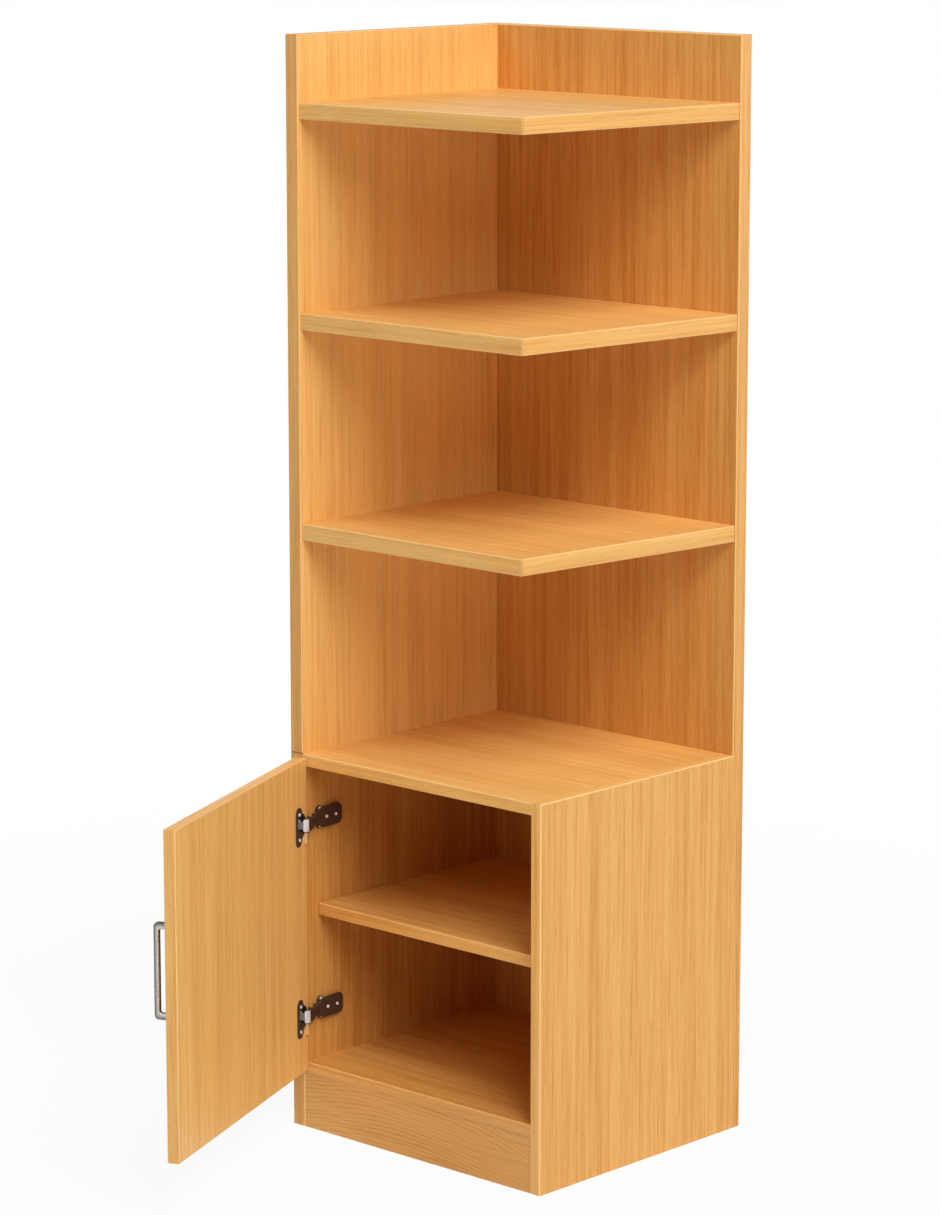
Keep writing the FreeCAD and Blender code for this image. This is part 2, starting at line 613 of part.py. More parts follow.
# Bow handle on the outer face of the door
handle = doc.addObject("PartDesign::Body", "handle")
bow = handle.newObject("PartDesign::AdditiveBox", "bow")
bind(bow, (("Length", "handle_width"), ("Width", "handle_projection")))
bind(bow, (("Height", "handle_spacing + handle_arm"),))
grip = handle.newObject("PartDesign::SubtractiveBox", "grip_room")
bind(grip, (("Length", "handle_width + 2 * overrun"), ("Width", "handle_projection - handle_bar + overrun")))
bind(grip, (("Height", "handle_spacing - handle_arm"),))
put(grip, "-overrun", "handle_bar", "handle_arm")
last = grip
for z in ("handle_arm / 2", "handle_spacing + handle_arm / 2"):
    thread = handle.newObject("PartDesign::SubtractiveCylinder", fresh("thread"))
    bind(thread, (("Radius", handle_hole), ("Height", "handle_screw_bite")))
    put(thread, "handle_width / 2", "handle_projection", z, "-y")
    last = thread
doc.recompute()
inner_y = grip.Placement.Base.y
across = outer_edges(last.Shape, -AXIS_Y, AXIS_X)
outside = [name for name in across if last.Shape.getElement(name).BoundBox.YMax < inner_y / 2]
bend = rounded(handle, last, outside, "handle_corner")
across = outer_edges(bend.Shape, -AXIS_Y, AXIS_X)
starts = {name: bend.Shape.getElement(name).BoundBox.YMin for name in across}
inside = [name for name, start in starts.items() if math.isclose(start, inner_y, rel_tol=CLOSE)]
bend = rounded(handle, bend, inside, "handle_inner_corner")
ARM_FOOT = f"({DOOR_OUT} - handle_projection)"
bow_low = f"{HANDLE_LEVEL} - (handle_spacing + handle_arm) / 2"
put(handle, f"{HANDLE_X} - handle_width / 2", ARM_FOOT, bow_low)
node("door_handle", hang(gathered([handle])))
seat = f"pivot_depth - ({sunk_depth})"
reach = f"carcass_board - ({sunk_depth}) + handle_screw_bite"
screw = ("handle_screw_radius", reach, "handle_head_radius", "handle_head_depth")
handle_screws = [small_screw(HANDLE_X, seat, z, "-y", *screw) for z in handle_rows]
node("handle_screws", hang(gathered(handle_screws)))
caps = [rod(HANDLE_X, "pivot_depth", z, "handle_head_radius", "handle_cap_depth", "-y") for z in handle_rows]
node("handle_screw_caps", hang(gathered(caps)))

# Hinges: a cup in the door turns on its pin about a fixed link, which the arm and plate carry
for name, level in HINGES.items():
    flange = doc.addObject("PartDesign::Body", fresh("flange"))
    leaf = flange.newObject("PartDesign::AdditiveBox", fresh("leaf"))
    bind(leaf, (("Length", "flange_width"), ("Width", "flange_thickness"), ("Height", "flange_height")))
    doc.recompute()
    corners = outer_edges(leaf.Shape, AXIS_Z, AXIS_Y) + outer_edges(leaf.Shape, -AXIS_Z, AXIS_Y)
    rounded(flange, leaf, corners, "flange_corner")
    put(flange, f"{CUP_SCREW_X} - flange_width / 2", "pivot_depth", f"{level} - flange_height / 2")
    cup = rod(CUP_X, "pivot_depth", level, "cup_radius", "cup_depth", "-y")
    rim = rod(CUP_X, "pivot_depth", level, "cup_radius + cup_rim", "flange_thickness", "+y")
    hollow_deep = "cup_depth - cup_wall + overrun"
    hollow = rod(CUP_X, "pivot_depth + overrun", level, "cup_radius - cup_wall", hollow_deep, "-y")
    pin_low = f"{level} - hinge_pin_half"
    pin_hole = "hinge_pin_radius + hinge_pin_clearance"
    tools = [hollow, rod("0", "0", f"{pin_low} - overrun", pin_hole, "2 * (hinge_pin_half + overrun)")]
    for s in SIGNS:
        spot = f"({level} {s} cup_screw_spacing / 2)"
        tools.append(rod(CUP_SCREW_X, "pivot_depth + overrun", spot, cup_screw_hole, "2 * overrun", "-y"))
    node(f"{name}_hinge_cup", hang(bored(joined([cup, rim, flange]), tools)))
    pin = rod("0", "0", pin_low, "hinge_pin_radius", "2 * hinge_pin_half")
    node(f"{name}_hinge_pin", hang(gathered([pin])))
    hook_y = f"{HINGE_Y} - eye_radius"
    eye_low = f"{level} - eye_half"
    tongue_low = f"{level} - tongue_half"
    nose_y = f"{HINGE_Y} + link_nose"
    eye = rod(HINGE_X, HINGE_Y, eye_low, "eye_radius", "2 * eye_half")
    hook = block(HINGE_X, hook_y, eye_low, "link_reach + link_sheet", "link_sheet", "2 * eye_half")
    upright = block(f"{HINGE_X} + link_reach", hook_y, f"{level} - link_half", "link_sheet",
                    "eye_radius + link_nose + link_sheet", "2 * link_half")
    tail_run = f"{HINGE_X} + link_reach + link_sheet - {ARM_TOP}"
    tail = block(ARM_TOP, nose_y, tongue_low, tail_run, "link_sheet", "2 * tongue_half")
    tongue = block(ARM_TOP, nose_y, tongue_low, "link_sheet", "tongue_length", "2 * tongue_half")
    pin_way = rod(HINGE_X, HINGE_Y, f"{eye_low} - overrun", pin_hole, "2 * (eye_half + overrun)")
    node(f"{name}_hinge_link", bored(joined([eye, hook, upright, tail, tongue]), [pin_way]))
    neck = block(ARM_X, "arm_start - unit_depth", f"{level} - arm_neck_half", "arm_thickness",
                 "arm_flare_start - arm_start", "2 * arm_neck_half")
    neck_face = (ARM_X, ARM_TOP, f"{level} - arm_neck_half", f"{level} + arm_neck_half")
    head_face = (ARM_X, ARM_TOP, f"{level} - arm_head_half", f"{level} + arm_head_half")
    tip_face = (ARM_X, ARM_TOP, f"{level} - arm_tip_half", f"{level} + arm_tip_half")
    flare = wedge(neck_face, head_face, "arm_flare_start - unit_depth", "arm_flare_end - unit_depth")
    head = block(ARM_X, "arm_flare_end - unit_depth", f"{level} - arm_head_half", "arm_thickness",
                 "arm_tip_start - arm_flare_end", "2 * arm_head_half")
    tip = wedge(head_face, tip_face, "arm_tip_start - unit_depth", "arm_end - unit_depth")
    arm_hole = "arm_screw_radius + small_screw_clearance"
    arm_through = "arm_thickness + 2 * overrun"
    tools = [rod(f"{ARM_TOP} + overrun", y, level, arm_hole, arm_through, "-x") for y in ARM_ROWS]
    node(f"{name}_hinge_arm", bored(joined([neck, flare, head, tip]), tools))
    base = block("wall_board", "plate_start - unit_depth", f"{level} - plate_half", "plate_thickness",
                 "plate_end - plate_start", "2 * plate_half")
    wing = block("wall_board", f"{PLATE_Y} - wing_width / 2", f"{level} - wing_half", "wing_thickness",
                 "wing_width", "2 * wing_half")
    tools = [rod(ARM_TOP, y, level, arm_hole, "arm_screw_length", "-x") for y in ARM_ROWS]
    for s in SIGNS:
        spot = f"({level} {s} plate_screw_spacing / 2)"
        tools.append(rod("wall_board + overrun", PLATE_Y, spot, plate_hole, "2 * overrun", "-x"))
    node(f"{name}_mounting_plate", bored(joined([base, wing]), tools))

# Small screws of the hinges
SMALL_HEAD = ("small_head_radius", "small_head_depth")
screw = ("cup_screw_radius", "cup_screw_length", *SMALL_HEAD)
seat = "pivot_depth + flange_thickness"
cup_screws = [small_screw(CUP_SCREW_X, seat, z, "-y", *screw) for z in cup_rows]
node("hinge_cup_screws", hang(gathered(cup_screws)))
screw = ("plate_screw_radius", "plate_screw_length", *SMALL_HEAD)
seat = "wall_board + wing_thickness"
plate_screws = [small_screw(seat, y, z, "-x", *screw) for y, z in plate_spots]
node("mounting_plate_screws", gathered(plate_screws))
screw = ("arm_screw_radius", "arm_screw_length", *SMALL_HEAD)
arm_spots = [(y, z) for z in HINGES.values() for y in ARM_ROWS]
arm_screws = [small_screw(ARM_TOP, y, z, "-x", *screw) for y, z in arm_spots]
node("hinge_arm_screws", gathered(arm_screws))

doc.recompute()
for obj in doc.Objects:
    if "Invalid" in obj.State or "Error" in obj.State:
        raise RuntimeError(f"{obj.Name} did not build: {obj.State}")
os.makedirs("parts", exist_ok=True)
for piece in NODES:
    if piece.Shape.isNull() or not piece.Shape.isValid():
        raise RuntimeError(f"{piece.Label} has no valid shape")
    piece.Shape.exportStep(f"parts/{piece.Label}.step")
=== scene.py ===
"""Looks of a corner shelf unit: honey wood boards with edge bands, a bow handle and two concealed hinges."""

import json
import math

import bmesh
import bpy
import numpy as np
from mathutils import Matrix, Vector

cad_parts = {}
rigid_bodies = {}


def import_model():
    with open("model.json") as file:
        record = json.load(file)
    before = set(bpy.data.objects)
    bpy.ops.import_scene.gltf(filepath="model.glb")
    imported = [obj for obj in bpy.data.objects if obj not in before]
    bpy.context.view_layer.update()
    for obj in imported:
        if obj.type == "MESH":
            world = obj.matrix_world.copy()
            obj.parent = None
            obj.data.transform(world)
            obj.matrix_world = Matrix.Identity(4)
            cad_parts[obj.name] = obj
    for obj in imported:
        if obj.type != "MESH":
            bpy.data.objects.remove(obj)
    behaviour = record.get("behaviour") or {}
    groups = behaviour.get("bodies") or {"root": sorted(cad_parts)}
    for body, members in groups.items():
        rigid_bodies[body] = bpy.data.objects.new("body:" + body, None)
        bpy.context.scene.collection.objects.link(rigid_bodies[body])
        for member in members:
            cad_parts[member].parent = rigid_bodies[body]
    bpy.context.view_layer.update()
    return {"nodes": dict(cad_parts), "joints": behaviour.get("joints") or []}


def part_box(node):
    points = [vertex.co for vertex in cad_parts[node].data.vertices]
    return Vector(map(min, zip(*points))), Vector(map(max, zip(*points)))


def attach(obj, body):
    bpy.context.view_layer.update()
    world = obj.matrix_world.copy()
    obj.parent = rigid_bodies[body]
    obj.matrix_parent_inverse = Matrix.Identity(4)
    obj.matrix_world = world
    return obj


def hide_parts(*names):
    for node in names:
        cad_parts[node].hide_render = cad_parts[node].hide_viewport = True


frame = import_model()

bl_info = {
    "name": "Corner shelf unit",
    "version": (1, 0, 0),
    "blender": (4, 5, 0),
    "location": "3D View > Sidebar > Shelf unit",
    "description": "Dresses the boards, edge bands, handle and hinges of a corner shelf unit",
    "category": "Object",
}

MM = 0.001
RIGHT_ANGLE = math.pi / 2
SWING = frame["joints"][0]
HINGE_LINE = np.array(SWING["pos_m"])
OPEN_ANGLE = math.radians(-SWING["range_deg"][0])
CARCASS = SWING["parent"]
LEAF = SWING["child"]
HINGES = ("upper", "lower")

X = np.array([1.0, 0.0, 0.0])
Y = np.array([0.0, 1.0, 0.0])
Z = np.array([0.0, 0.0, 1.0])

# Points closer than MERGE become one, edges shorter than EMPTY go, and points within NEAR share a line.
MERGE = 1e-7
EMPTY = 1e-8
NEAR = 1e-5
# Edges that bend by more than this stay sharp.
CREASE = math.radians(35.0)

# Each board: the direction of its grain, where its pattern starts and how dark it is. The darkness was
# fitted per board against these lamps, so besides each board's own tone it holds painted light and
# shade: painted light on the upper left panel, the door, the middle and lower shelves and the cabinet
# top, and painted shade on the cabinet's left side and bottom and on the back panel.
BOARDS = {
    "upper_left_panel": ("Z", (0.31, 1.70, 0.20), -0.40),
    "cabinet_left_side": ("Z", (2.13, 0.40, 1.10), 0.32),
    "back_panel": ("Z", (4.47, 3.10, 0.50), 0.20),
    "cabinet_right_side": ("Z", (1.26, 5.30, 2.60), 0.06),
    "door": ("Z", (6.61, 2.20, 1.90), -0.30),
    "top_shelf": ("X", (0.90, 4.80, 3.30), -0.10),
    "middle_shelf": ("X", (3.75, 1.35, 0.70), -0.34),
    "lower_shelf": ("X", (5.22, 2.95, 4.10), -0.24),
    "cabinet_top": ("X", (2.68, 6.40, 1.45), -0.30),
    "cabinet_bottom": ("X", (7.15, 0.85, 2.25), 0.18),
    "cabinet_shelf": ("X", (1.88, 3.65, 5.05), 0.00),
}
# The turn that lays the pattern's Z along a board's grain.
GRAIN_TURN = {"Z": (0.0, 0.0, 0.0), "X": (0.0, -RIGHT_ANGLE, 0.0)}

# The two left boards are nearly alike on the faces that stand against the wall. Inside each board its
# outer shade changes to its own between these two depths, so that the painted shade of the cabinet's
# left side and the painted light of the upper left panel lie only on their inner faces.
OUTER_SHADE = {"upper_left_panel": -0.08, "cabinet_left_side": -0.04}
OUTER_CHANGE = (8.0 * MM, 16.0 * MM)

# The wood's colour is multiplied by these in its warm streaks and in its grain lines.
WARM_TINT = (1.0, 0.965, 0.90, 1.0)
LINE_TINT = (1.0, 0.93, 0.84, 1.0)

# Strength and distance of each finish's bump.
BOARD_RELIEF = (0.25, 0.3 * MM)
BAND_RELIEF = (0.2, 0.2 * MM)
SMALL_WOOD_RELIEF = (0.3, 0.3 * MM)
METAL_RELIEF = (0.15, 0.1 * MM)

# How far a band's end is eased, what a seam adds to that, and how many eases long the seam's painted
# shade is.
END_EASE = 0.5 * MM
SEAM_EASE = 0.25 * MM
SEAM_RUN = 1.15

# A hinge's link sits lower than its cup, and the arm behind it rises along the neck and then to its tip.
LINK_DROP = 2.0 * MM
NECK_RISE = 3.4 * MM
TIP_RISE = 1.4 * MM

# Hinge screws: head radius, head height, shank radius and length.
CUP_SCREW = (2.6 * MM, 1.6 * MM, 1.6 * MM, 9.0 * MM)
ARM_SCREW = (2.4 * MM, 1.6 * MM, 1.5 * MM, 6.0 * MM)
PLATE_SCREW = (2.8 * MM, 1.6 * MM, 1.6 * MM, 10.0 * MM)
# Their places: out from the hinge line, above and below the level, and back from the arm's front end.
CUP_SCREW_OUT = 24.5 * MM
CUP_SCREW_STEPS = (-19.0 * MM, 19.0 * MM)
ARM_SCREW_BACKS = (39.0 * MM, 58.0 * MM)
PLATE_SCREW_STEPS = (-13.0 * MM, 13.0 * MM)

# Each lamp: the side of its square, where it hangs and where it aims.
LAMPS = {
    "key": (4.4, (5.0, -1.8, 7.1), (0.2, -0.2, 0.9)),
    "side": (4.0, (7.0, -4.2, 6.0), (0.2, -0.2, 0.8)),
    "low": (4.4, (8.2, -1.6, 1.8), (0.2, -0.2, 0.8)),
    "front": (4.0, (-3.4, -6.0, 5.6), (0.2, -0.2, 0.8)),
    "left": (2.5, (-6.0, -0.2, 1.6), (0.0, -0.2, 0.8)),
    "back": (2.5, (1.4, 6.0, 1.6), (0.2, 0.0, 0.8)),
}

# The floor lies a little below the unit. Its glow rises to full between these distances from the middle.
FLOOR_LEVEL = -0.5 * MM
FLOOR_ROWS = 9
GLOW_DISTANCES = (0.5, 2.2)
LEAST_GLOW = 0.93

VALUE = "NodeSocketFloat"
COLOUR = "NodeSocketColor"
VECTOR = "NodeSocketVector"
WOOD_INPUTS = [
    ("Vector", VECTOR, None),
    ("Light", COLOUR, (0.85, 0.49, 0.17, 1.0)),
    ("Dark", COLOUR, (0.61, 0.29, 0.08, 1.0)),
    ("Shade", VALUE, 0.0),
]
FINISH_OUTPUTS = [("Color", COLOUR), ("Roughness", VALUE), ("Height", VALUE)]


def node_points(node):
    """Corner points of a CAD node, one row each."""
    mesh = frame["nodes"][node].data
    flat = np.empty(len(mesh.vertices) * 3, np.float32)
    mesh.vertices.foreach_get("co", flat)
    return flat.reshape(-1, 3).astype(float)


def turned(points, angle):
    """Points turned by an angle about the door's upright hinge line."""
    away = points[..., :2] - HINGE_LINE[:2]
    out = np.array(points, float)
    out[..., 0] = HINGE_LINE[0] + away[..., 0] * math.cos(angle) - away[..., 1] * math.sin(angle)
    out[..., 1] = HINGE_LINE[1] + away[..., 0] * math.sin(angle) + away[..., 1] * math.cos(angle)
    return out


def shut_box(node):
    """Lowest and highest corner of a door part with the door turned shut."""
    points = turned(node_points(node), OPEN_ANGLE)
    return points.min(axis=0), points.max(axis=0)


def opened(shell):
    """A shell drawn on the shut door, turned to where the door stands open."""
    return dict(shell, points=turned(shell["points"], -OPEN_ANGLE))


def node_box(node):
    """Lowest and highest corner of a CAD node as arrays."""
    low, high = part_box(node)
    return np.array(low), np.array(high)


def smooth_step(value, start, end):
    """0 before start, 1 after end, and a smooth rise between."""
    way = np.clip((value - start) / (end - start), 0.0, 1.0)
    return way * way * (3.0 - 2.0 * way)


def rounded_profile(half_u, half_v, radii, steps=6):
    """Rounded rectangle round the middle, as u and v, and its wear.

    Corner k turns from k to k + 1 right angles, on a circle of its own radius set in by that radius
    from both sides. Wear is the sine of the way through a corner, and 0 on the flats.
    """
    way = np.linspace(0.0, 1.0, steps + 1)
    angle = (np.arange(4)[:, None] + way) * RIGHT_ANGLE
    radius = np.broadcast_to(np.asarray(radii, float)[:, None], angle.shape)
    side_u = np.array([1, -1, -1, 1])[:, None]
    side_v = np.array([1, 1, -1, -1])[:, None]
    half_u = np.asarray(half_u, float)[..., None, None]
    half_v = np.asarray(half_v, float)[..., None, None]
    u = side_u * (half_u - radius) + radius * np.cos(angle)
    v = side_v * (half_v - radius) + radius * np.sin(angle)
    wear = np.sin(math.pi * way) * (radius > 0)
    return u.reshape(*u.shape[:-2], -1), v.reshape(*v.shape[:-2], -1), wear.reshape(-1)


def skin(sections, wear=None, grain=None, ends=True):
    """Closed skin over like sections, an array of stations by points around by 3.

    Quads join each point to its neighbour and to the next station, and a flat face closes each end. A
    section of no size is a pole, whose points are merged later.
    """
    stations, around = sections.shape[:2]
    index = np.arange(stations * around).reshape(stations, around)
    beside = np.roll(index, -1, axis=1)
    quads = np.stack([index[:-1], beside[:-1], beside[1:], index[1:]], axis=-1).reshape(-1, 4).tolist()
    if ends:
        quads += [index[0, ::-1].tolist(), index[-1].tolist()]
    worn = np.zeros((stations, around)) if wear is None else np.broadcast_to(wear, (stations, around))
    local = sections if grain is None else grain
    return {
        "points": sections.reshape(-1, 3),
        "faces": quads,
        "wear": worn.reshape(-1),
        "grain": np.asarray(local).reshape(-1, 3),
    }


def lathe(radius, height, centre, axis, side, around):
    """Turned form: radius and height along an axis, carried round it in a circle."""
    radius = np.asarray(radius, float)[:, None]
    height = np.asarray(height, float)[:, None]
    angle = np.arange(around) * (2 * math.pi / around)
    points = (
        centre
        + (radius * np.cos(angle))[..., None] * side
        + (radius * np.sin(angle))[..., None] * np.cross(axis, side)
        + (height * np.ones(around))[..., None] * axis
    )
    return skin(points, ends=False)


def make_piece(name, shells, material, body, nodes):
    """Puts shells into one mesh object that rides on a body and stands for CAD nodes."""
    starts = np.cumsum([0] + [len(shell["points"]) for shell in shells])
    points = np.concatenate([shell["points"] for shell in shells])
    faces = [[corner + start for corner in face]
             for shell, start in zip(shells, starts.tolist()) for face in shell["faces"]]
    mesh = bpy.data.meshes.new(name)
    mesh.from_pydata(points.tolist(), [], faces)
    worn = mesh.attributes.new("wear", "FLOAT", "POINT")
    worn.data.foreach_set("value", np.concatenate([shell["wear"] for shell in shells]))
    local = mesh.attributes.new("grain", "FLOAT_VECTOR", "POINT")
    local.data.foreach_set("vector", np.concatenate([shell["grain"] for shell in shells]).reshape(-1))
    work = bmesh.new()
    work.from_mesh(mesh)
    bmesh.ops.remove_doubles(work, verts=work.verts, dist=MERGE)
    bmesh.ops.dissolve_degenerate(work, edges=work.edges, dist=EMPTY)
    bmesh.ops.recalc_face_normals(work, faces=work.faces)
    work.to_mesh(mesh)
    work.free()
    mesh.polygons.foreach_set("use_smooth", np.ones(len(mesh.polygons), bool))
    mesh.set_sharp_from_angle(angle=CREASE)
    piece = bpy.data.objects.new(name, mesh)
    bpy.context.scene.collection.objects.link(piece)
    mesh.materials.append(material)
    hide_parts(*nodes)
    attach(piece, body)


def dress(node, material):
    """Gives a CAD node its material, in every slot."""
    slots = frame["nodes"][node].material_slots
    if not slots:
        frame["nodes"][node].data.materials.append(material)
    for slot in slots:
        slot.material = material


def add(tree, kind, values=None, **settings):
    """Adds a node with its settings, and sets or links its inputs."""
    node = tree.nodes.new(kind)
    for key, value in settings.items():
        setattr(node, key, value)
    for key, value in (values or {}).items():
        if isinstance(value, bpy.types.NodeSocket):
            tree.links.new(value, node.inputs[key])
        else:
            node.inputs[key].default_value = value
    return node


def maths(tree, operation, first, second=0.0, third=0.0):
    """A Math node's result."""
    node = add(tree, "ShaderNodeMath", {0: first, 1: second, 2: third}, operation=operation)
    return node.outputs[0]


def remap(tree, value, low, high, start=0.0, end=1.0, kind="SMOOTHSTEP"):
    """A value brought from one range to another."""
    node = add(
        tree,
        "ShaderNodeMapRange",
        {"Value": value, "From Min": low, "From Max": high, "To Min": start, "To Max": end},
        interpolation_type=kind,
    )
    return node.outputs["Result"]


def stretched_noise(tree, vector, across, along, detail=2.0, rough=0.5):
    """Noise of a vector with one scale across the grain, in X and Y, and another along it, in Z."""
    scale = (across, across, along)
    scaled = add(tree, "ShaderNodeVectorMath", {0: vector, 1: scale}, operation="MULTIPLY")
    node = add(
        tree,
        "ShaderNodeTexNoise",
        {"Vector": scaled.outputs[0], "Scale": 1.0, "Detail": detail, "Roughness": rough},
    )
    return node.outputs["Fac"]


def blended(tree, factor, first, second, kind="MIX"):
    """Two colours mixed by a factor."""
    node = add(tree, "ShaderNodeMix", data_type="RGBA", blend_type=kind)
    for socket, value in (("Factor_Float", factor), ("A_Color", first), ("B_Color", second)):
        found = next(entry for entry in node.inputs if entry.identifier == socket)
        if isinstance(value, bpy.types.NodeSocket):
            tree.links.new(value, found)
        else:
            found.default_value = value
    return next(entry for entry in node.outputs if entry.identifier == "Result_Color")


def new_group(name, inputs):
    """An empty shader node group for a finish, and the sockets of its two end nodes."""
    tree = bpy.data.node_groups.new(name, "ShaderNodeTree")
    for label, kind, default in inputs:
        socket = tree.interface.new_socket(name=label, in_out="INPUT", socket_type=kind)
        if default is not None:
            socket.default_value = default
    for label, kind in FINISH_OUTPUTS:
        tree.interface.new_socket(name=label, in_out="OUTPUT", socket_type=kind)
    return tree, tree.nodes.new("NodeGroupInput").outputs, tree.nodes.new("NodeGroupOutput").inputs


def put_out(tree, result, colour, rough, height):
    """Links a group's colour, roughness and height to its end node."""
    tree.links.new(colour, result["Color"])
    tree.links.new(rough, result["Roughness"])
    tree.links.new(height, result["Height"])


def wood_roughness(tree, tone):
    """Roughness of wood, which grows with its tone."""
    return maths(tree, "MULTIPLY_ADD", tone, 0.14, 0.40)


def straight_grain():
    """Group: straight wood grain along the vector's Z, swaying a little.

    Its tone adds up broad bands, streaks, lines, pores, fibres and flecks, and its warm streaks and lines
    are tinted.
    """
    found = bpy.data.node_groups.get("straight_grain")
    if found:
        return found
    tree, given, result = new_group(
        "straight_grain", WOOD_INPUTS + [("Flecks", VALUE, 0.4), ("Sway", VALUE, 0.012)]
    )
    slow = add(tree, "ShaderNodeVectorMath", {0: given["Vector"], 1: (5.0, 5.0, 1.3)}, operation="MULTIPLY")
    drift = add(
        tree, "ShaderNodeTexNoise", {"Vector": slow.outputs[0], "Scale": 1.0, "Detail": 1.0}
    ).outputs["Color"]
    centred = add(tree, "ShaderNodeVectorMath", {0: drift, 1: (0.5, 0.5, 0.5)}, operation="SUBTRACT")
    pushed = add(
        tree, "ShaderNodeVectorMath", {0: centred.outputs[0], "Scale": given["Sway"]}, operation="SCALE"
    )
    place = add(
        tree, "ShaderNodeVectorMath", {0: given["Vector"], 1: pushed.outputs[0]}, operation="ADD"
    ).outputs[0]
    broad = stretched_noise(tree, place, 20.0, 0.7)
    streaks = stretched_noise(tree, place, 95.0, 1.6)
    lines = stretched_noise(tree, place, 400.0, 5.5, rough=0.6)
    pores = stretched_noise(tree, place, 520.0, 55.0)
    fibres = stretched_noise(tree, place, 1300.0, 34.0)
    flecks = stretched_noise(tree, place, 170.0, 6.0, detail=1.0)
    warmth = stretched_noise(tree, place, 62.0, 1.1)
    dark_lines = remap(tree, lines, 0.42, 0.72)
    dark_flecks = remap(tree, flecks, 0.62, 0.76)
    tone = remap(tree, broad, 0.30, 0.70, 0.0, 0.20)
    tone = maths(tree, "ADD", remap(tree, streaks, 0.36, 0.68, 0.0, 0.22), tone)
    for part, share in ((dark_lines, 0.24), (pores, 0.44), (fibres, 0.10)):
        tone = maths(tree, "MULTIPLY_ADD", part, share, tone)
    tone = maths(tree, "MULTIPLY_ADD", tone, 0.85, 0.05)
    tone = maths(tree, "ADD", tone, given["Shade"])
    tone = maths(tree, "MULTIPLY_ADD", dark_flecks, given["Flecks"], tone)
    tone = maths(tree, "MINIMUM", tone, 1.0)
    colour = blended(tree, tone, given["Light"], given["Dark"])
    colour = blended(tree, remap(tree, warmth, 0.38, 0.62), colour, WARM_TINT, "MULTIPLY")
    colour = blended(tree, dark_lines, colour, LINE_TINT, "MULTIPLY")
    height = maths(tree, "MULTIPLY_ADD", fibres, 0.5, maths(tree, "MULTIPLY", dark_lines, -0.08))
    put_out(tree, result, colour, wood_roughness(tree, tone), height)
    return tree


def arched_grain():
    """Group: plain-sawn grain, nested arches along the vector's Z.

    The arches are rings of the way across plus Bend times the square of the way along, and they waver.
    """
    found = bpy.data.node_groups.get("arched_grain")
    if found:
        return found
    tree, given, result = new_group(
        "arched_grain", WOOD_INPUTS + [("Bend", VALUE, 0.40), ("Rings", VALUE, 900.0)]
    )
    vector = given["Vector"]
    parts = add(tree, "ShaderNodeSeparateXYZ", {0: vector})
    along = parts.outputs["Z"]
    waver = stretched_noise(tree, vector, 26.0, 7.0)
    bow = maths(tree, "MULTIPLY", maths(tree, "MULTIPLY", along, along), given["Bend"])
    level = maths(tree, "ADD", parts.outputs["X"], bow)
    level = maths(tree, "MULTIPLY_ADD", waver, 0.014, level)
    rings = maths(tree, "SINE", maths(tree, "MULTIPLY", level, given["Rings"]))
    thin = stretched_noise(tree, vector, 420.0, 5.0, detail=3.0, rough=0.6)
    fibres = stretched_noise(tree, vector, 1300.0, 30.0)
    broken = remap(tree, stretched_noise(tree, vector, 60.0, 6.0, detail=1.0), 0.3, 0.7, 0.35, 1.0)
    dark_rings = maths(tree, "MULTIPLY", remap(tree, rings, 0.1, 1.0), broken)
    tone = given["Shade"]
    for part, share in ((dark_rings, 0.30), (remap(tree, thin, 0.5, 0.75), 0.30), (fibres, 0.40)):
        tone = maths(tree, "MULTIPLY_ADD", part, share, tone)
    tone = maths(tree, "MINIMUM", tone, 1.0)
    colour = blended(tree, tone, given["Light"], given["Dark"])
    height = maths(tree, "MULTIPLY_ADD", fibres, 0.5, maths(tree, "MULTIPLY", dark_rings, -0.4))
    put_out(tree, result, colour, wood_roughness(tree, tone), height)
    return tree


def brushed_metal():
    """Group: fine brush lines along the vector's Z and soft handling marks, another colour for wear and
    painted highlights.
    """
    found = bpy.data.node_groups.get("brushed_metal")
    if found:
        return found
    tree, given, result = new_group(
        "brushed_metal",
        [
            ("Vector", VECTOR, None),
            ("Metal", COLOUR, (0.6, 0.58, 0.55, 1.0)),
            ("Worn", COLOUR, (0.8, 0.78, 0.75, 1.0)),
            ("Wear", VALUE, 0.0),
            ("Gloss", VALUE, 0.3),
            ("Brush", VALUE, 1.0),
        ],
    )
    lines = stretched_noise(tree, given["Vector"], 2600.0, 60.0, detail=3.0, rough=0.6)
    marks = stretched_noise(tree, given["Vector"], 90.0, 90.0, detail=3.0, rough=0.6)
    speck = stretched_noise(tree, given["Vector"], 700.0, 700.0)
    worn = maths(tree, "MULTIPLY", given["Wear"], remap(tree, speck, 0.3, 0.6, 0.4, 1.0))
    shade = remap(tree, marks, 0.3, 0.7, 0.88, 1.06, "LINEAR")
    dull = add(tree, "ShaderNodeVectorMath", {0: given["Metal"], "Scale": shade}, operation="SCALE")
    colour = blended(tree, worn, dull.outputs[0], given["Worn"])
    streak = maths(tree, "MULTIPLY", maths(tree, "SUBTRACT", lines, 0.5), given["Brush"])
    rough = maths(tree, "MULTIPLY_ADD", streak, 0.16, given["Gloss"])
    rough = maths(tree, "MULTIPLY_ADD", marks, 0.12, rough)
    height = maths(tree, "MULTIPLY_ADD", streak, 0.7, maths(tree, "MULTIPLY", speck, 0.25))
    put_out(tree, result, colour, rough, height)
    return tree


def rgba(colour):
    """A colour with full cover."""
    return (colour[0], colour[1], colour[2], 1.0)


def new_material(name):
    """A material with its node tree and shader, or with None for both where it is already made."""
    found = bpy.data.materials.get(name)
    if found:
        return found, None, None
    material = bpy.data.materials.new(name)
    material.use_nodes = True
    return material, material.node_tree, material.node_tree.nodes["Principled BSDF"]


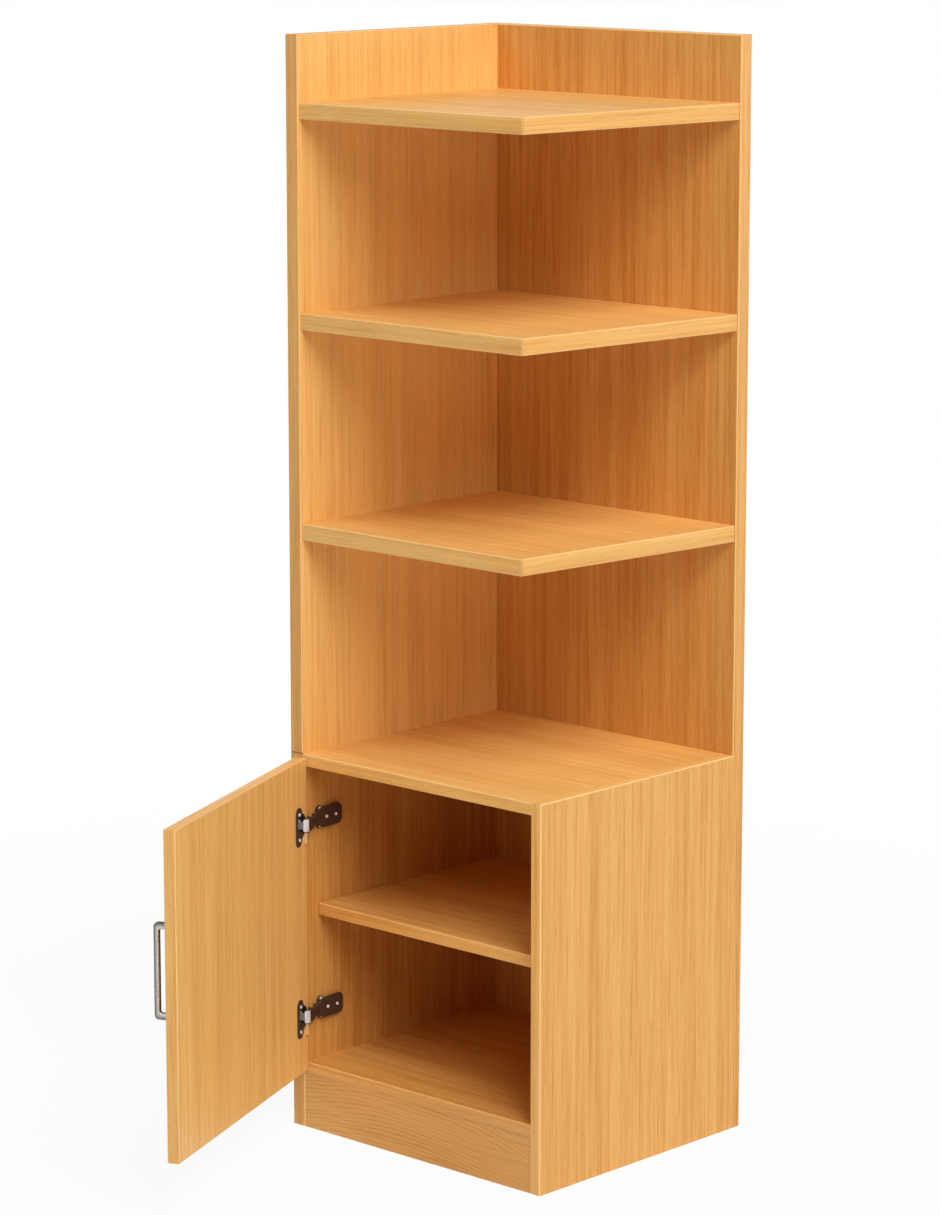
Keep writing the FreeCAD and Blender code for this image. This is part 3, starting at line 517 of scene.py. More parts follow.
def object_place(tree):
    """The shaded point's place in its object's own frame."""
    return add(tree, "ShaderNodeTexCoord").outputs["Object"]


def attribute(tree, name):
    """A node that reads a mesh attribute."""
    return add(tree, "ShaderNodeAttribute", attribute_name=name, attribute_type="GEOMETRY")


def finish_shader(tree, shader, group, values, relief):
    """Adds a group with its values and feeds its colour, roughness and height to the shader."""
    finish = add(tree, "ShaderNodeGroup", values, node_tree=group)
    tree.links.new(finish.outputs["Color"], shader.inputs["Base Color"])
    tree.links.new(finish.outputs["Roughness"], shader.inputs["Roughness"])
    strength, distance = relief
    bump = add(
        tree,
        "ShaderNodeBump",
        {"Strength": strength, "Distance": distance, "Height": finish.outputs["Height"]},
    )
    tree.links.new(bump.outputs["Normal"], shader.inputs["Normal"])
    return finish


def wood_values(look, vector, shade):
    """What every wood group of the boards and bands is given."""
    return {"Vector": vector, "Light": rgba(look.light), "Dark": rgba(look.dark), "Shade": shade}


def board_wood(name, along, start, shade, outer):
    """Board finish: straight grain along one axis, starting at its own place in the pattern.

    The face towards the wall, at X = 0, has the outer shade, and the change lies inside the board, so
    that the painted light and shade in the board's own shade show only on the inner face.
    """
    material, tree, shader = new_material(name)
    if tree is None:
        return material
    look = bpy.context.scene.shelf_wood
    where = object_place(tree)
    turn = GRAIN_TURN[along]
    placed = add(tree, "ShaderNodeMapping", {"Vector": where, "Location": start, "Rotation": turn})
    if outer != shade:
        across = add(tree, "ShaderNodeSeparateXYZ", {0: where}).outputs["X"]
        shade = remap(tree, across, *OUTER_CHANGE, outer, shade)
    values = dict(wood_values(look, placed.outputs[0], shade), Flecks=look.flecks)
    finish_shader(tree, shader, straight_grain(), values, BOARD_RELIEF)
    shader.inputs["Specular IOR Level"].default_value = look.sheen
    return material


def plinth_wood():
    """Plinth finish: plain-sawn arches along X, with their apex a little left of the middle."""
    material, tree, shader = new_material("plinth_wood")
    if tree is None:
        return material
    look = bpy.context.scene.shelf_wood
    low, high = node_box("plinth")
    apex = low + (high - low) * np.array([0.42, 0.5, 0.5])
    shifted = add(tree, "ShaderNodeVectorMath", {0: object_place(tree), 1: apex}, operation="SUBTRACT")
    placed = add(
        tree, "ShaderNodeMapping", {"Vector": shifted.outputs[0], "Rotation": GRAIN_TURN["X"]}
    )
    # The plinth's shade of 0.30 darkens it, besides its own tone, as painted shade low by the floor.
    values = dict(wood_values(look, placed.outputs[0], 0.30), Bend=-0.55, Rings=1000.0)
    finish_shader(tree, shader, arched_grain(), values, BOARD_RELIEF)
    shader.inputs["Specular IOR Level"].default_value = look.sheen
    return material


def band_wood(name, shade):
    """Edge band finish: straight grain along each band, painted highlight on the arrises, painted shade in a
    seam.
    """
    material, tree, shader = new_material(name)
    if tree is None:
        return material
    look = bpy.context.scene.shelf_wood
    values = wood_values(look, attribute(tree, "grain").outputs["Vector"], shade)
    values.update(Flecks=look.flecks, Sway=0.004)
    finish = finish_shader(tree, shader, straight_grain(), values, BAND_RELIEF)
    highlight_and_seam_shade = attribute(tree, "wear").outputs["Fac"]
    # The pale colour along the rounded arrises is a painted highlight.
    pale = maths(tree, "MAXIMUM", maths(tree, "MULTIPLY", highlight_and_seam_shade, look.arris_highlight_share), 0.0)
    # A seam's end takes the seam colour, painted shade in the gap between the boards.
    deep = maths(tree, "MAXIMUM", maths(tree, "MULTIPLY", highlight_and_seam_shade, -1.0), 0.0)
    colour = blended(tree, pale, finish.outputs["Color"], rgba(look.arris_highlight))
    colour = blended(tree, deep, colour, rgba(look.seam))
    tree.links.new(colour, shader.inputs["Base Color"])
    shader.inputs["Specular IOR Level"].default_value = look.sheen
    return material


def plain_wood(name, pale_share, start):
    """Small wooden parts: straight grain along X, bare and matt, paler than the boards by a share."""
    material, tree, shader = new_material(name)
    if tree is None:
        return material
    look = bpy.context.scene.shelf_wood
    placed = add(
        tree,
        "ShaderNodeMapping",
        {"Vector": object_place(tree), "Location": start, "Rotation": GRAIN_TURN["X"]},
    )
    pale = [light + (1.0 - light) * pale_share for light in look.light]
    values = {"Vector": placed.outputs[0], "Light": rgba(pale), "Dark": rgba(look.light)}
    finish_shader(tree, shader, straight_grain(), values, SMALL_WOOD_RELIEF)
    shader.inputs["Specular IOR Level"].default_value = 0.3
    return material


def metal(name, colour, worn, gloss, metallic=1.0, brush=1.0, local=False, edge=1.0):
    """Metal finish: brush lines and handling marks, in the worn colour along worn edges.

    With local, place and wear are read from the mesh. Edge is the tint of grazing reflections. The worn
    colour is a painted highlight on the handle, and wear brightened into a painted highlight on the hinges.
    """
    material, tree, shader = new_material(name)
    if tree is None:
        return material
    values = {"Metal": rgba(colour), "Worn": rgba(worn), "Gloss": gloss, "Brush": brush}
    if local:
        values["Vector"] = attribute(tree, "grain").outputs["Vector"]
        values["Wear"] = attribute(tree, "wear").outputs["Fac"]
    else:
        values["Vector"] = object_place(tree)
    finish_shader(tree, shader, brushed_metal(), values, METAL_RELIEF)
    shader.inputs["Metallic"].default_value = metallic
    shader.inputs["Specular Tint"].default_value = (edge, edge, edge, 1.0)
    return material


def band(start, end, outward, across, depth, width, seed, seam=(0.0, 0.0)):
    """Edge band: a rectangle of depth by width with two rounded outer arrises, carried straight.

    It runs from start to end, which are the lower inner corner's first and last place, and is eased at
    both ends. Its grain coordinates are its own out, across and along. Its wear, high on the rounded
    arrises for their painted highlight, falls to -1 at an end that meets another band in a seam, for the
    painted shade there.
    """
    arris = min(bpy.context.scene.shelf_sizes.arris, depth * 0.9)
    first, last = END_EASE + SEAM_EASE * np.array(seam)
    run = np.linalg.norm(end - start)
    along = np.array([0.0, first, first * SEAM_RUN, run - last * SEAM_RUN, run - last, run])
    inset = np.array([first, 0.0, 0.0, 0.0, 0.0, last])
    u, v, wear = rounded_profile(depth / 2 - inset, width / 2 - inset, (arris, 0.0, 0.0, arris))
    sunk = np.array([seam[0], seam[0], 0.0, 0.0, seam[1], seam[1]])[:, None]
    wear = wear * (1.0 - sunk) - sunk
    u = u + depth / 2
    v = v + width / 2
    points = (
        start
        + (along / run)[:, None, None] * (end - start)
        + u[..., None] * outward
        + v[..., None] * across
    )
    local = np.stack([u + seed * 1.7, v + seed * 0.9, np.broadcast_to(along[:, None], u.shape) + seed], -1)
    return skin(points, wear, local)


def upright_board_bands(node, seed, top, seam=(0.0, 0.0)):
    """Front band, and top band where asked, of an upright board that runs in depth."""
    low, high = node_box(node)
    edge_low, edge_high = node_box(node + "_edging")
    depth = low[1] - edge_low[1]
    width = high[0] - low[0]
    head = np.array([low[0], low[1], edge_high[2]])
    shells = [band(low, head, -Y, X, depth, width, seed, seam)]
    if top:
        front = np.array([low[0], low[1], high[2]])
        back = np.array([low[0], high[1], high[2]])
        shells.append(band(front, back, Z, X, depth, width, seed + 0.37))
    return shells


def shelf_bands(node, seed):
    """Front and right band of a shelf whose right edge runs slantwise."""
    points = node_points(node)
    low, high = points.min(axis=0), points.max(axis=0)
    depth = low[1] - node_box(node + "_edging")[0][1]
    width = high[2] - low[2]
    front_right = points[points[:, 1] < low[1] + NEAR, 0].max()
    back_right = points[points[:, 1] > high[1] - NEAR, 0].max()
    corner = np.array([front_right, low[1], low[2]])
    back = np.array([back_right, high[1], low[2]])
    return [
        band(low, corner + depth * X, -Y, Z, depth, width, seed),
        band(corner, back, X, Z, depth, width, seed + 0.53),
    ]


def front_band(node, seed):
    """Front band of a level board between two uprights."""
    low, high = node_box(node)
    depth = low[1] - node_box(node + "_edging")[0][1]
    end = np.array([high[0], low[1], low[2]])
    return [band(low, end, -Y, Z, depth, high[2] - low[2], seed)]


def back_panel_bands(node, seed):
    """Right band and top band of the back panel."""
    low, high = node_box(node)
    edge_high = node_box(node + "_edging")[1]
    depth = edge_high[0] - high[0]
    width = high[1] - low[1]
    foot = np.array([high[0], low[1], low[2]])
    head = np.array([high[0], low[1], edge_high[2]])
    left = np.array([low[0], low[1], high[2]])
    right = np.array([high[0], low[1], high[2]])
    return [
        band(foot, head, X, Y, depth, width, seed),
        band(left, right, Z, Y, depth, width, seed + 0.41),
    ]


def door_bands(seed):
    """Four bands round the door, drawn on the shut door and turned open: free, hung, top and bottom."""
    low, high = shut_box("door")
    edge_low, edge_high = shut_box("door_edging")
    depth = low[0] - edge_low[0]
    width = high[1] - low[1]
    foot, head, front = edge_low[2], edge_high[2], low[1]
    lines = (
        ((high[0], front, foot), (high[0], front, head), X, 0.0),
        ((low[0], front, foot), (low[0], front, head), -X, 0.29),
        ((low[0], front, high[2]), (high[0], front, high[2]), Z, 0.58),
        ((low[0], front, low[2]), (high[0], front, low[2]), -Z, 0.83),
    )
    return [
        opened(band(np.array(start), np.array(end), outward, Y, depth, width, seed + shift))
        for start, end, outward, shift in lines
    ]


def bow_handle():
    """Bow handle: a rounded bar carried up one arm, round two corners and down the other arm.

    At each station the section reaches from the inner line to the outer line. Both lines turn a corner on
    a circle of their own, through the same angles. Wear is slight on the outer arrises, and on the inner
    ones it is full beside the sides and falls to nothing on the inner face; there it lays on the pale
    nickel as a painted highlight.
    """
    sizes = bpy.context.scene.shelf_sizes
    low, high = shut_box("door_handle")
    face = high[1]
    reach = face - low[1]
    middle = (low[0] + high[0]) / 2
    half_width = (high[0] - low[0]) / 2
    bar, arm = sizes.handle_bar, sizes.handle_arm
    turn = np.linspace(0.0, RIGHT_ANGLE, 13)
    rise = np.linspace(0.0, 1.0, 5)[:-1]
    centre = (low[2] + high[2]) / 2

    def bent(radius, out, level):
        corner_out = out - radius + radius * np.sin(turn)
        corner_level = level - radius + radius * np.cos(turn)
        ways = np.concatenate([rise * corner_out[0], corner_out])
        levels = np.concatenate([np.full(len(rise), level), corner_level])
        half = np.stack([ways, levels - centre], axis=-1)
        return np.concatenate([half, half[::-1] * np.array([1.0, -1.0])])

    outer_line = bent(sizes.handle_outer_radius, reach, high[2])
    inner_line = bent(sizes.handle_inner_radius, reach - bar, high[2] - arm)
    span = outer_line - inner_line
    size = np.linalg.norm(span, axis=1)
    along = span / size[:, None]
    middle_line = (outer_line + inner_line) / 2
    outer, inner = sizes.handle_arris, sizes.handle_inner_arris
    u, v = rounded_profile(size / 2, np.full(len(size), half_width), (outer, inner, inner, outer))[:2]
    slight = np.linspace(0.0, 0.1, 7)
    falling = np.array([1.0, 1.0, 1.0, 0.9, 0.5, 0.2, 0.0])
    wear = np.concatenate([slight, falling, falling[::-1], slight[::-1]])
    flat = middle_line[:, None, :] + u[..., None] * along[:, None, :]
    points = np.stack([middle + v, face - flat[..., 0], centre + flat[..., 1]], axis=-1)
    steps = np.linalg.norm(np.diff(middle_line, axis=0), axis=1)
    run = np.concatenate([[0.0], np.cumsum(steps)])
    local = np.stack([u, v, np.broadcast_to(run[:, None], u.shape)], axis=-1)
    return [opened(skin(points, wear, local))]


def hinge_cup(name):
    """Cup and flange of a hinge, let into the door's inner face.

    Rings run from the cup's outer floor up its wall, out to the flange's outline, over the flange's face
    and down into the hollow cup. The outline is the furthest point, at each angle, that lies in the cup's
    rim or in the rounded plate beside it. On the hinge's side the flange thins by a smooth step, so that
    the link can pass over it.
    """
    sizes = bpy.context.scene.shelf_sizes
    low, high = shut_box(name + "_hinge_cup")
    level = (low[2] + high[2]) / 2
    face = shut_box("door")[1][1]
    thick = high[1] - face
    half_tall = (high[2] - low[2]) / 2
    centre = np.array([HINGE_LINE[0] + sizes.cup_offset, face, level])
    plate_half = (high[0] - centre[0]) / 2
    around = 288
    angle = np.arange(around) * (2 * math.pi / around)
    radius = np.linspace(0.0, half_tall * 1.25, 900)[:, None]
    corner = plate_half * 0.85
    over_x = np.abs(radius * np.cos(angle) - plate_half) - (plate_half - corner)
    over_z = np.abs(radius * np.sin(angle)) - (half_tall - corner)
    beyond = np.hypot(np.maximum(over_x, 0.0), np.maximum(over_z, 0.0))
    beyond = beyond + np.minimum(np.maximum(over_x, over_z), 0.0)
    wall = sizes.cup_radius
    rim = wall + 0.8 * MM
    covered = (beyond <= corner) | (radius <= rim)
    outline = np.where(covered, radius, 0.0).max(axis=0)
    sheet = 0.9 * MM
    mouth = wall - sheet
    deep = low[1] - face
    floor = deep + 0.8 * MM
    foot_round, hollow_round = 1.2 * MM, 1.4 * MM
    # Each ring: its radius, its share of the outline, its height over the door's face and its wear, which
    # the worn bronze also brightens as a painted highlight.
    rings = [
        (0.0, 0.0, deep, 0.0),
        (wall - foot_round, 0.0, deep, 0.0),
        (wall, 0.0, deep + foot_round, 0.0),
        (wall, 0.0, 0.0, 0.0),
        (0.0, 1.0, 0.0, 0.2),
        (0.0, 1.0, thick * 0.45, 0.6),
        (-0.12 * MM, 1.0, thick * 0.75, 1.0),
        (-0.40 * MM, 1.0, thick * 0.95, 0.7),
        (-0.80 * MM, 1.0, thick, 0.0),
        (mouth + sheet, 0.0, thick, 0.0),
        (mouth + 0.2 * MM, 0.0, thick * 0.9, 0.9),
        (mouth, 0.0, thick * 0.4, 0.5),
        (mouth, 0.0, floor + hollow_round, 0.0),
        (mouth - hollow_round, 0.0, floor, 0.0),
        (0.0, 0.0, floor, 0.0),
    ]
    base, share, height, wear = (np.array(column)[:, None] for column in zip(*rings))
    reach = base + share * outline
    least = 0.04
    flush = least + (1.0 - least) * smooth_step(np.cos(angle), -0.5, -0.1)
    height = np.where(height > 0.0, height * flush, height)
    ring_x = centre[0] + reach * np.cos(angle)
    ring_z = centre[2] + reach * np.sin(angle)
    return [opened(skin(np.stack([ring_x, centre[1] + height, ring_z], axis=-1), wear, ends=False))]


def lean(name, depth):
    """Height that a hinge's carcass half gains with depth.

    It starts low at the link, goes up by a smooth step along the neck, and then evenly on to the tip.
    """
    low, high = node_box(name + "_hinge_arm")
    way = (depth - low[1]) / (high[1] - low[1])
    neck = 0.38
    beyond = np.clip((way - neck) / (1.0 - neck), 0.0, 1.0)
    return NECK_RISE * smooth_step(way, -0.03, neck) + TIP_RISE * beyond - LINK_DROP


def hinge_arm(name):
    """Arm of a hinge: a strip along the side that rises to its link, and two thin cheeks beside the link.

    Its half height starts wide at the link, narrows to a neck, widens by smooth steps to a flat head and
    rounds off at the tip on two quarter circles. Its section is a rounded rectangle, which is thick at the
    link and thins by a smooth step to the strip.
    """
    low, high = node_box(name + "_hinge_arm")
    link_low, link_high = node_box(name + "_hinge_link")
    sizes = bpy.context.scene.shelf_sizes
    level = (low[2] + high[2]) / 2
    length = high[1] - low[1]
    wide = (high[2] - low[2]) / 2
    link_half = (link_high[2] - link_low[2]) / 2
    corner = sizes.arm_corner
    neck = sizes.arm_neck
    turn = np.linspace(0.0, RIGHT_ANGLE, 16)
    bend = corner * (1.0 - np.sin(turn))
    run = np.concatenate([np.linspace(0.0, length - corner, 64)[:-1], length - bend])
    foot_half = link_half + 0.9 * MM
    half = neck + (wide - neck) * smooth_step(run, length * 0.14, length * 0.52)
    half = half + (foot_half - neck) * (1.0 - smooth_step(run, 0.0, length * 0.13))
    left = np.clip(corner - (length - run), 0.0, corner)
    half = half - corner + np.sqrt(np.maximum(corner**2 - left**2, 0.0))
    thick = (high[0] - low[0]) / 2
    rise = (HINGE_LINE[0] + sizes.link_out - 3.0 * MM - high[0]) / 2
    deep = thick + rise * (1.0 - smooth_step(run, 0.0, length * 0.34))
    edge = 1.1 * MM
    u, v, wear = rounded_profile(deep, half, (edge, 0.0, 0.0, edge))
    along = np.broadcast_to(low[1] + run[:, None], u.shape)
    strip = np.stack([low[0] + deep[:, None] + u, along, level + lean(name, along) + v], axis=-1)
    shells = [skin(strip, wear)]
    first, last = link_line(name)[1:3]
    way = np.array([0.04, 0.08, 1.0, 1.12])
    line = first + way[:, None] * (last - first)
    cheek_deep, cheek_half, cheek_edge = 0.9 * MM, 0.5 * MM, 0.3 * MM
    ease = np.array([cheek_edge, 0.0, 0.0, cheek_edge])
    u, v, wear = rounded_profile(cheek_deep - ease, cheek_half - ease / 2, (cheek_edge,) * 4, 3)
    out = line[:, :1] + 0.2 * MM + u
    back = np.broadcast_to(line[:, 1:], u.shape)
    for side in (-1.0, 1.0):
        beside = level - LINK_DROP + side * (link_half + 0.35 * MM)
        shells.append(skin(np.stack([out, back, beside + v], axis=-1), wear))
    return shells


def mounting_plate(name):
    """Mounting plate: a rounded block under the arm, and a cross wing with round ends.

    The wing's half width closes on a circle at both ends, and its outer arrises are rounded.
    """
    low, high = node_box(name + "_mounting_plate")
    sizes = bpy.context.scene.shelf_sizes
    level = (low[2] + high[2]) / 2
    foot = low[0]
    length = high[1] - low[1]
    ease = 0.6 * MM
    edge = 0.7 * MM
    radii = (edge, 0.0, 0.0, edge)
    along = np.array([0.0, ease, length - ease, length])
    inset = np.array([ease, 0.0, 0.0, ease])
    tall = (high[0] - foot) / 2
    u, v, wear = rounded_profile(tall - inset, sizes.plate_half - inset, radii, 4)
    ways = np.broadcast_to(low[1] + along[:, None], u.shape)
    block = np.stack([foot + tall + u, ways, level + lean(name, ways) + v], axis=-1)
    wing_tall = sizes.wing_thick / 2
    wing_half = sizes.wing_half
    wing_back = low[1] + sizes.wing_set_back
    reach = (high[2] - low[2]) / 2
    straight = reach - wing_half
    cap = np.sin(np.linspace(-RIGHT_ANGLE, RIGHT_ANGLE, 25)) * wing_half
    steps = np.concatenate([[-reach], cap[1:13] - straight, [straight], cap[13:] + straight])
    beyond = np.maximum(np.abs(steps) - straight, 0.0)
    tip_half = 0.75 * MM
    half = np.sqrt(np.maximum(wing_half**2 - beyond**2, tip_half**2))
    u, v, wing_wear = rounded_profile(np.full(len(half), wing_tall), half, radii, 4)
    levels = np.broadcast_to(level + lean(name, wing_back) + steps[:, None], u.shape)
    wing = np.stack([foot + wing_tall + u, wing_back + v, levels], axis=-1)
    return [skin(block, wear), skin(wing, wing_wear)]


def bent_line(corners, radius, steps=7):
    """A line through corner points in a plane, each inner corner rounded by a quarter curve."""
    pieces = [corners[:1]]
    for before, corner, after in zip(corners[:-2], corners[1:-1], corners[2:]):
        into = (before - corner) / np.linalg.norm(before - corner)
        away = (after - corner) / np.linalg.norm(after - corner)
        way = np.linspace(0.0, 1.0, steps)[:, None]
        pieces.append(corner + radius * (into * (1 - way) ** 2 + away * way**2))
    pieces.append(corners[-1:])
    return np.concatenate(pieces)


def link_line(name):
    """Corners of a link's line: from the pin, out, slantwise back to the nose, in and along the arm."""
    sizes = bpy.context.scene.shelf_sizes
    low, high = node_box(name + "_hinge_link")
    half = sizes.link_sheet / 2
    nose = HINGE_LINE[1] + sizes.link_nose + half
    rest = node_box(name + "_hinge_arm")[1][0] + half
    return np.array([
        [HINGE_LINE[0], low[1] + half],
        [HINGE_LINE[0] + sizes.link_in, low[1] + half],
        [HINGE_LINE[0] + sizes.link_out, HINGE_LINE[1] + sizes.link_back],
        [rest, nose],
        [rest, high[1]],
    ])


def hinge_link(name):
    """Link of a hinge: a bent strip from the pin, out, back and onto the arm, and a round eye at the pin.

    The strip's section, a thin rounded rectangle, is carried along a line with rounded bends. Its half
    height changes by smooth steps along the line.
    """
    low, high = node_box(name + "_hinge_link")
    sizes = bpy.context.scene.shelf_sizes
    level = (low[2] + high[2]) / 2
    corners = link_line(name)
    line = bent_line(corners, 0.9 * MM)
    ahead = np.gradient(line, axis=0)
    ahead = ahead / np.linalg.norm(ahead, axis=1)[:, None]
    out = np.stack([ahead[:, 1], -ahead[:, 0]], axis=-1)
    steps = np.concatenate([[0.0], np.cumsum(np.linalg.norm(np.diff(line, axis=0), axis=1))])
    tall = (high[2] - low[2]) / 2
    pin_half, arm_half = 5.5 * MM, 6.0 * MM
    start, face_end, nose = np.linalg.norm(np.diff(corners, axis=0), axis=1).cumsum()[:3]
    half = pin_half + (tall - pin_half) * smooth_step(steps, start * 0.90, start * 1.06)
    half = half - (tall - arm_half) * smooth_step(steps, face_end * 0.96, nose)
    sheet = np.full(len(steps), sizes.link_sheet / 2)
    u, v, wear = rounded_profile(sheet, half, (0.45 * MM,) * 4, 4)
    flat = line[:, None, :] + u[..., None] * out[:, None, :]
    strip = np.concatenate([flat, level - LINK_DROP + v[..., None]], axis=-1)
    eye_radius, eye_end, chamfer = 1.9 * MM, 1.3 * MM, 0.4 * MM
    eye = lathe(
        [0.0, eye_end, eye_radius, eye_radius, eye_end, 0.0],
        [-pin_half, -pin_half, chamfer - pin_half, pin_half - chamfer, pin_half, pin_half],
        np.array([HINGE_LINE[0], HINGE_LINE[1], level]), Z, X, 24,
    )
    return [skin(strip, wear), eye]


def spring_leg(name):
    """Spring leg below a hinge's cup: a rod with a rounded oblong section that stands on the door's face.

    Its half width closes on a circle at the foot.
    """
    low, high = shut_box(name + "_hinge_cup")
    face = shut_box("door")[1][1]
    top = (low[2] + high[2]) / 2 - 12.6 * MM
    half_width, half_thick = 2.4 * MM, 1.8 * MM
    way = np.linspace(0.0, 1.0, 17)
    foot = np.clip((way - 0.8) / 0.2, 0.0, 1.0)
    half = half_width * np.sqrt(np.maximum(1.0 - foot**2, 0.06))
    u, v, wear = rounded_profile(np.full(len(way), half_thick), half, (0.4 * MM,) * 4, 4)
    fall = np.broadcast_to(top - way[:, None] * bpy.context.scene.shelf_sizes.spring_leg, u.shape)
    points = np.stack([HINGE_LINE[0] + 0.3 * MM + v, face + half_thick + u, fall], axis=-1)
    return [opened(skin(points, wear))]


def pan_screw(seat, axis, side, sizes):
    """Cross-head screw: a pointed shank, a round head with a domed face and a cross sunk in it.

    Radius and height run from the tip to the head's middle. The face dips by the cross's depth where either
    of the two crossed slots lies, with soft walls. Wear rises to 1 in a ring near the head's rim.
    """
    head_radius, head_tall, shank_radius, length = sizes
    shank = np.array([
        [0.0, -length],
        [shank_radius * 0.8, shank_radius * 2.0 - length],
        [shank_radius, shank_radius * 2.6 - length],
        [shank_radius, 0.0],
        [head_radius * 0.96, 0.0],
    ])
    dome = np.linspace(0.0, 1.0, 15)
    face_height = head_tall * (0.55 + 0.45 * np.sqrt(1.0 - (1.0 - dome) ** 2 * 0.98))
    radius = np.concatenate([shank[:, 0], head_radius * (1.0 - dome)])
    height = np.concatenate([shank[:, 1], face_height])
    shell = lathe(radius, height, seat, axis, side, 48)
    away = shell["points"] - seat
    u, v, up = away @ side, away @ np.cross(axis, side), away @ axis
    slot_half, slot_reach = head_radius * 0.15, head_radius * 0.62

    def slot(across, along):
        inside = 1.0 - smooth_step(np.abs(across), slot_half * 0.8, slot_half * 1.6)
        return inside * (1.0 - smooth_step(np.abs(along), slot_reach * 0.8, slot_reach))

    dip = np.maximum(slot(u, v), slot(v, u)) * (up > head_tall * 0.5) * head_tall * 0.55
    shell["points"] = shell["points"] - dip[:, None] * axis
    from_ring = np.abs(np.hypot(u, v) - head_radius * 0.9) / (head_radius * 0.12)
    shell["wear"] = np.clip(1.0 - from_ring, 0.0, 1.0) * (up > 0)
    return shell


def colour_setting(name, description, default):
    """A colour property."""
    return bpy.props.FloatVectorProperty(
        name=name, description=description, subtype="COLOR", default=default, min=0.0, max=1.0)


def share_setting(name, description, default):
    """A property for a share from 0 to 1."""
    return bpy.props.FloatProperty(
        name=name, description=description, subtype="FACTOR", default=default, min=0.0, max=1.0)


def length_setting(name, description, millimetres):
    """A length property, kept in metres."""
    return bpy.props.FloatProperty(
        name=name, description=description, unit="LENGTH", default=millimetres * MM)


def power_setting(name, description, watts):
    """A property for the power of a lamp."""
    return bpy.props.FloatProperty(name=name, description=description, unit="POWER", default=watts)


class WoodLook(bpy.types.PropertyGroup):
    """Colours of the boards and their edge bands."""

    light: colour_setting("Light grain", "Wood colour between the grain lines", (0.930, 0.554, 0.181))
    dark: colour_setting("Dark grain", "Wood colour of the darkest grain lines", (0.590, 0.252, 0.047))
    # The rubbed arris colour and its share paint a highlight along the bands' rounded arrises.
    arris_highlight: colour_setting("Rubbed arris", "Colour along the rounded arrises", (0.950, 0.640, 0.300))
    # The seam colour is painted shade in the gap between the two left boards.
    seam: colour_setting("Seam", "Colour in the seam of the left wall", (0.300, 0.130, 0.040))
    arris_highlight_share: share_setting("Rubbed share", "How far the arrises take that colour", 0.7)
    flecks: share_setting("Flecks", "Strength of short darker flecks", 0.25)
    sheen: share_setting("Gloss level", "Reflection level of the clear finish", 0.35)


class MetalLook(bpy.types.PropertyGroup):
    """Colours of the handle, hinges and fasteners."""

    # The handle's nickel is darkened nearly to black, as painted shade and dark reflection, and its pale
    # rubbed colour on the inner arrises is a painted highlight.
    nickel: colour_setting("Handle nickel", "Colour of the handle", (0.115, 0.098, 0.088))
    nickel_highlight: colour_setting(
        "Rubbed nickel", "Colour of the handle's inner arrises", (0.72, 0.68, 0.65))
    bronze: colour_setting(
        "Hinge bronze", "Colour of the hinge arms, plates and flanges", (0.150, 0.088, 0.042))
    # The worn bronze is wear along the hinge parts' edges, brightened to stand as a painted highlight too.
    bronze_wear_and_highlight: colour_setting("Worn bronze", "Colour along those parts' edges", (0.34, 0.21, 0.13))
    plated: colour_setting("Plated steel", "Colour of the hinges' links", (0.84, 0.83, 0.815))
    spring: colour_setting("Spring leg", "Colour of the leg below each cup", (0.84, 0.56, 0.31))
    screw: colour_setting("Hinge screws", "Colour of the hinges' screws", (0.93, 0.91, 0.88))
    zinc: colour_setting("Zinc", "Colour of the board screws, cams and supports", (0.55, 0.56, 0.57))
    bright: colour_setting("Bright zinc", "Worn colour of those fasteners", (0.74, 0.73, 0.715))


class ShelfSizes(bpy.types.PropertyGroup):
    """Small sizes of the bands, handle and hinges that the CAD boxes don't give."""

    arris: length_setting("Arris radius", "Rounding of the edge bands", 1.6)
    handle_bar: length_setting("Handle bar", "Thickness of the handle's bar", 8.0)
    handle_arm: length_setting("Handle arm", "Height of the handle's arms", 9.5)
    handle_outer_radius: length_setting("Outer corner", "Outer rounding of the bow", 6.0)
    handle_inner_radius: length_setting("Inner corner", "Inner rounding of the bow", 3.0)
    handle_arris: length_setting("Outer arris", "Rounding of the bar's outer edges", 1.4)
    handle_inner_arris: length_setting("Inner arris", "Rounding of the bar's inner edges", 2.66)
    cup_radius: length_setting("Cup radius", "Radius of the hinge cups", 17.5)
    cup_offset: length_setting("Cup offset", "Cup centre from the hinge line", 13.5)
    arm_corner: length_setting("Arm corner", "Rounding of a hinge arm's end", 8.0)
    arm_neck: length_setting("Arm neck", "Half height of a hinge arm's neck", 7.0)
    plate_half: length_setting("Plate half height", "Half height of the plate's block", 8.0)
    wing_thick: length_setting("Wing thickness", "Thickness of the plate's wings", 2.5)
    wing_half: length_setting("Wing half width", "Half width of the plate's wings", 7.0)
    wing_set_back: length_setting("Wing set-back", "Wing centre from the plate's front end", 14.0)
    link_sheet: length_setting("Link sheet", "Sheet thickness of the links", 1.4)
    link_nose: length_setting("Link nose", "Where a link meets its arm, behind the pin", 12.5)
    link_in: length_setting("Link start", "Start of a link's bright face from the pin", 10.6)
    link_out: length_setting("Link reach", "End of a link's bright face from the pin", 13.2)
    link_back: length_setting("Link depth", "Depth of that end behind the pin", 7.0)
    spring_leg: length_setting("Spring leg", "Length of the leg below a cup", 17.5)


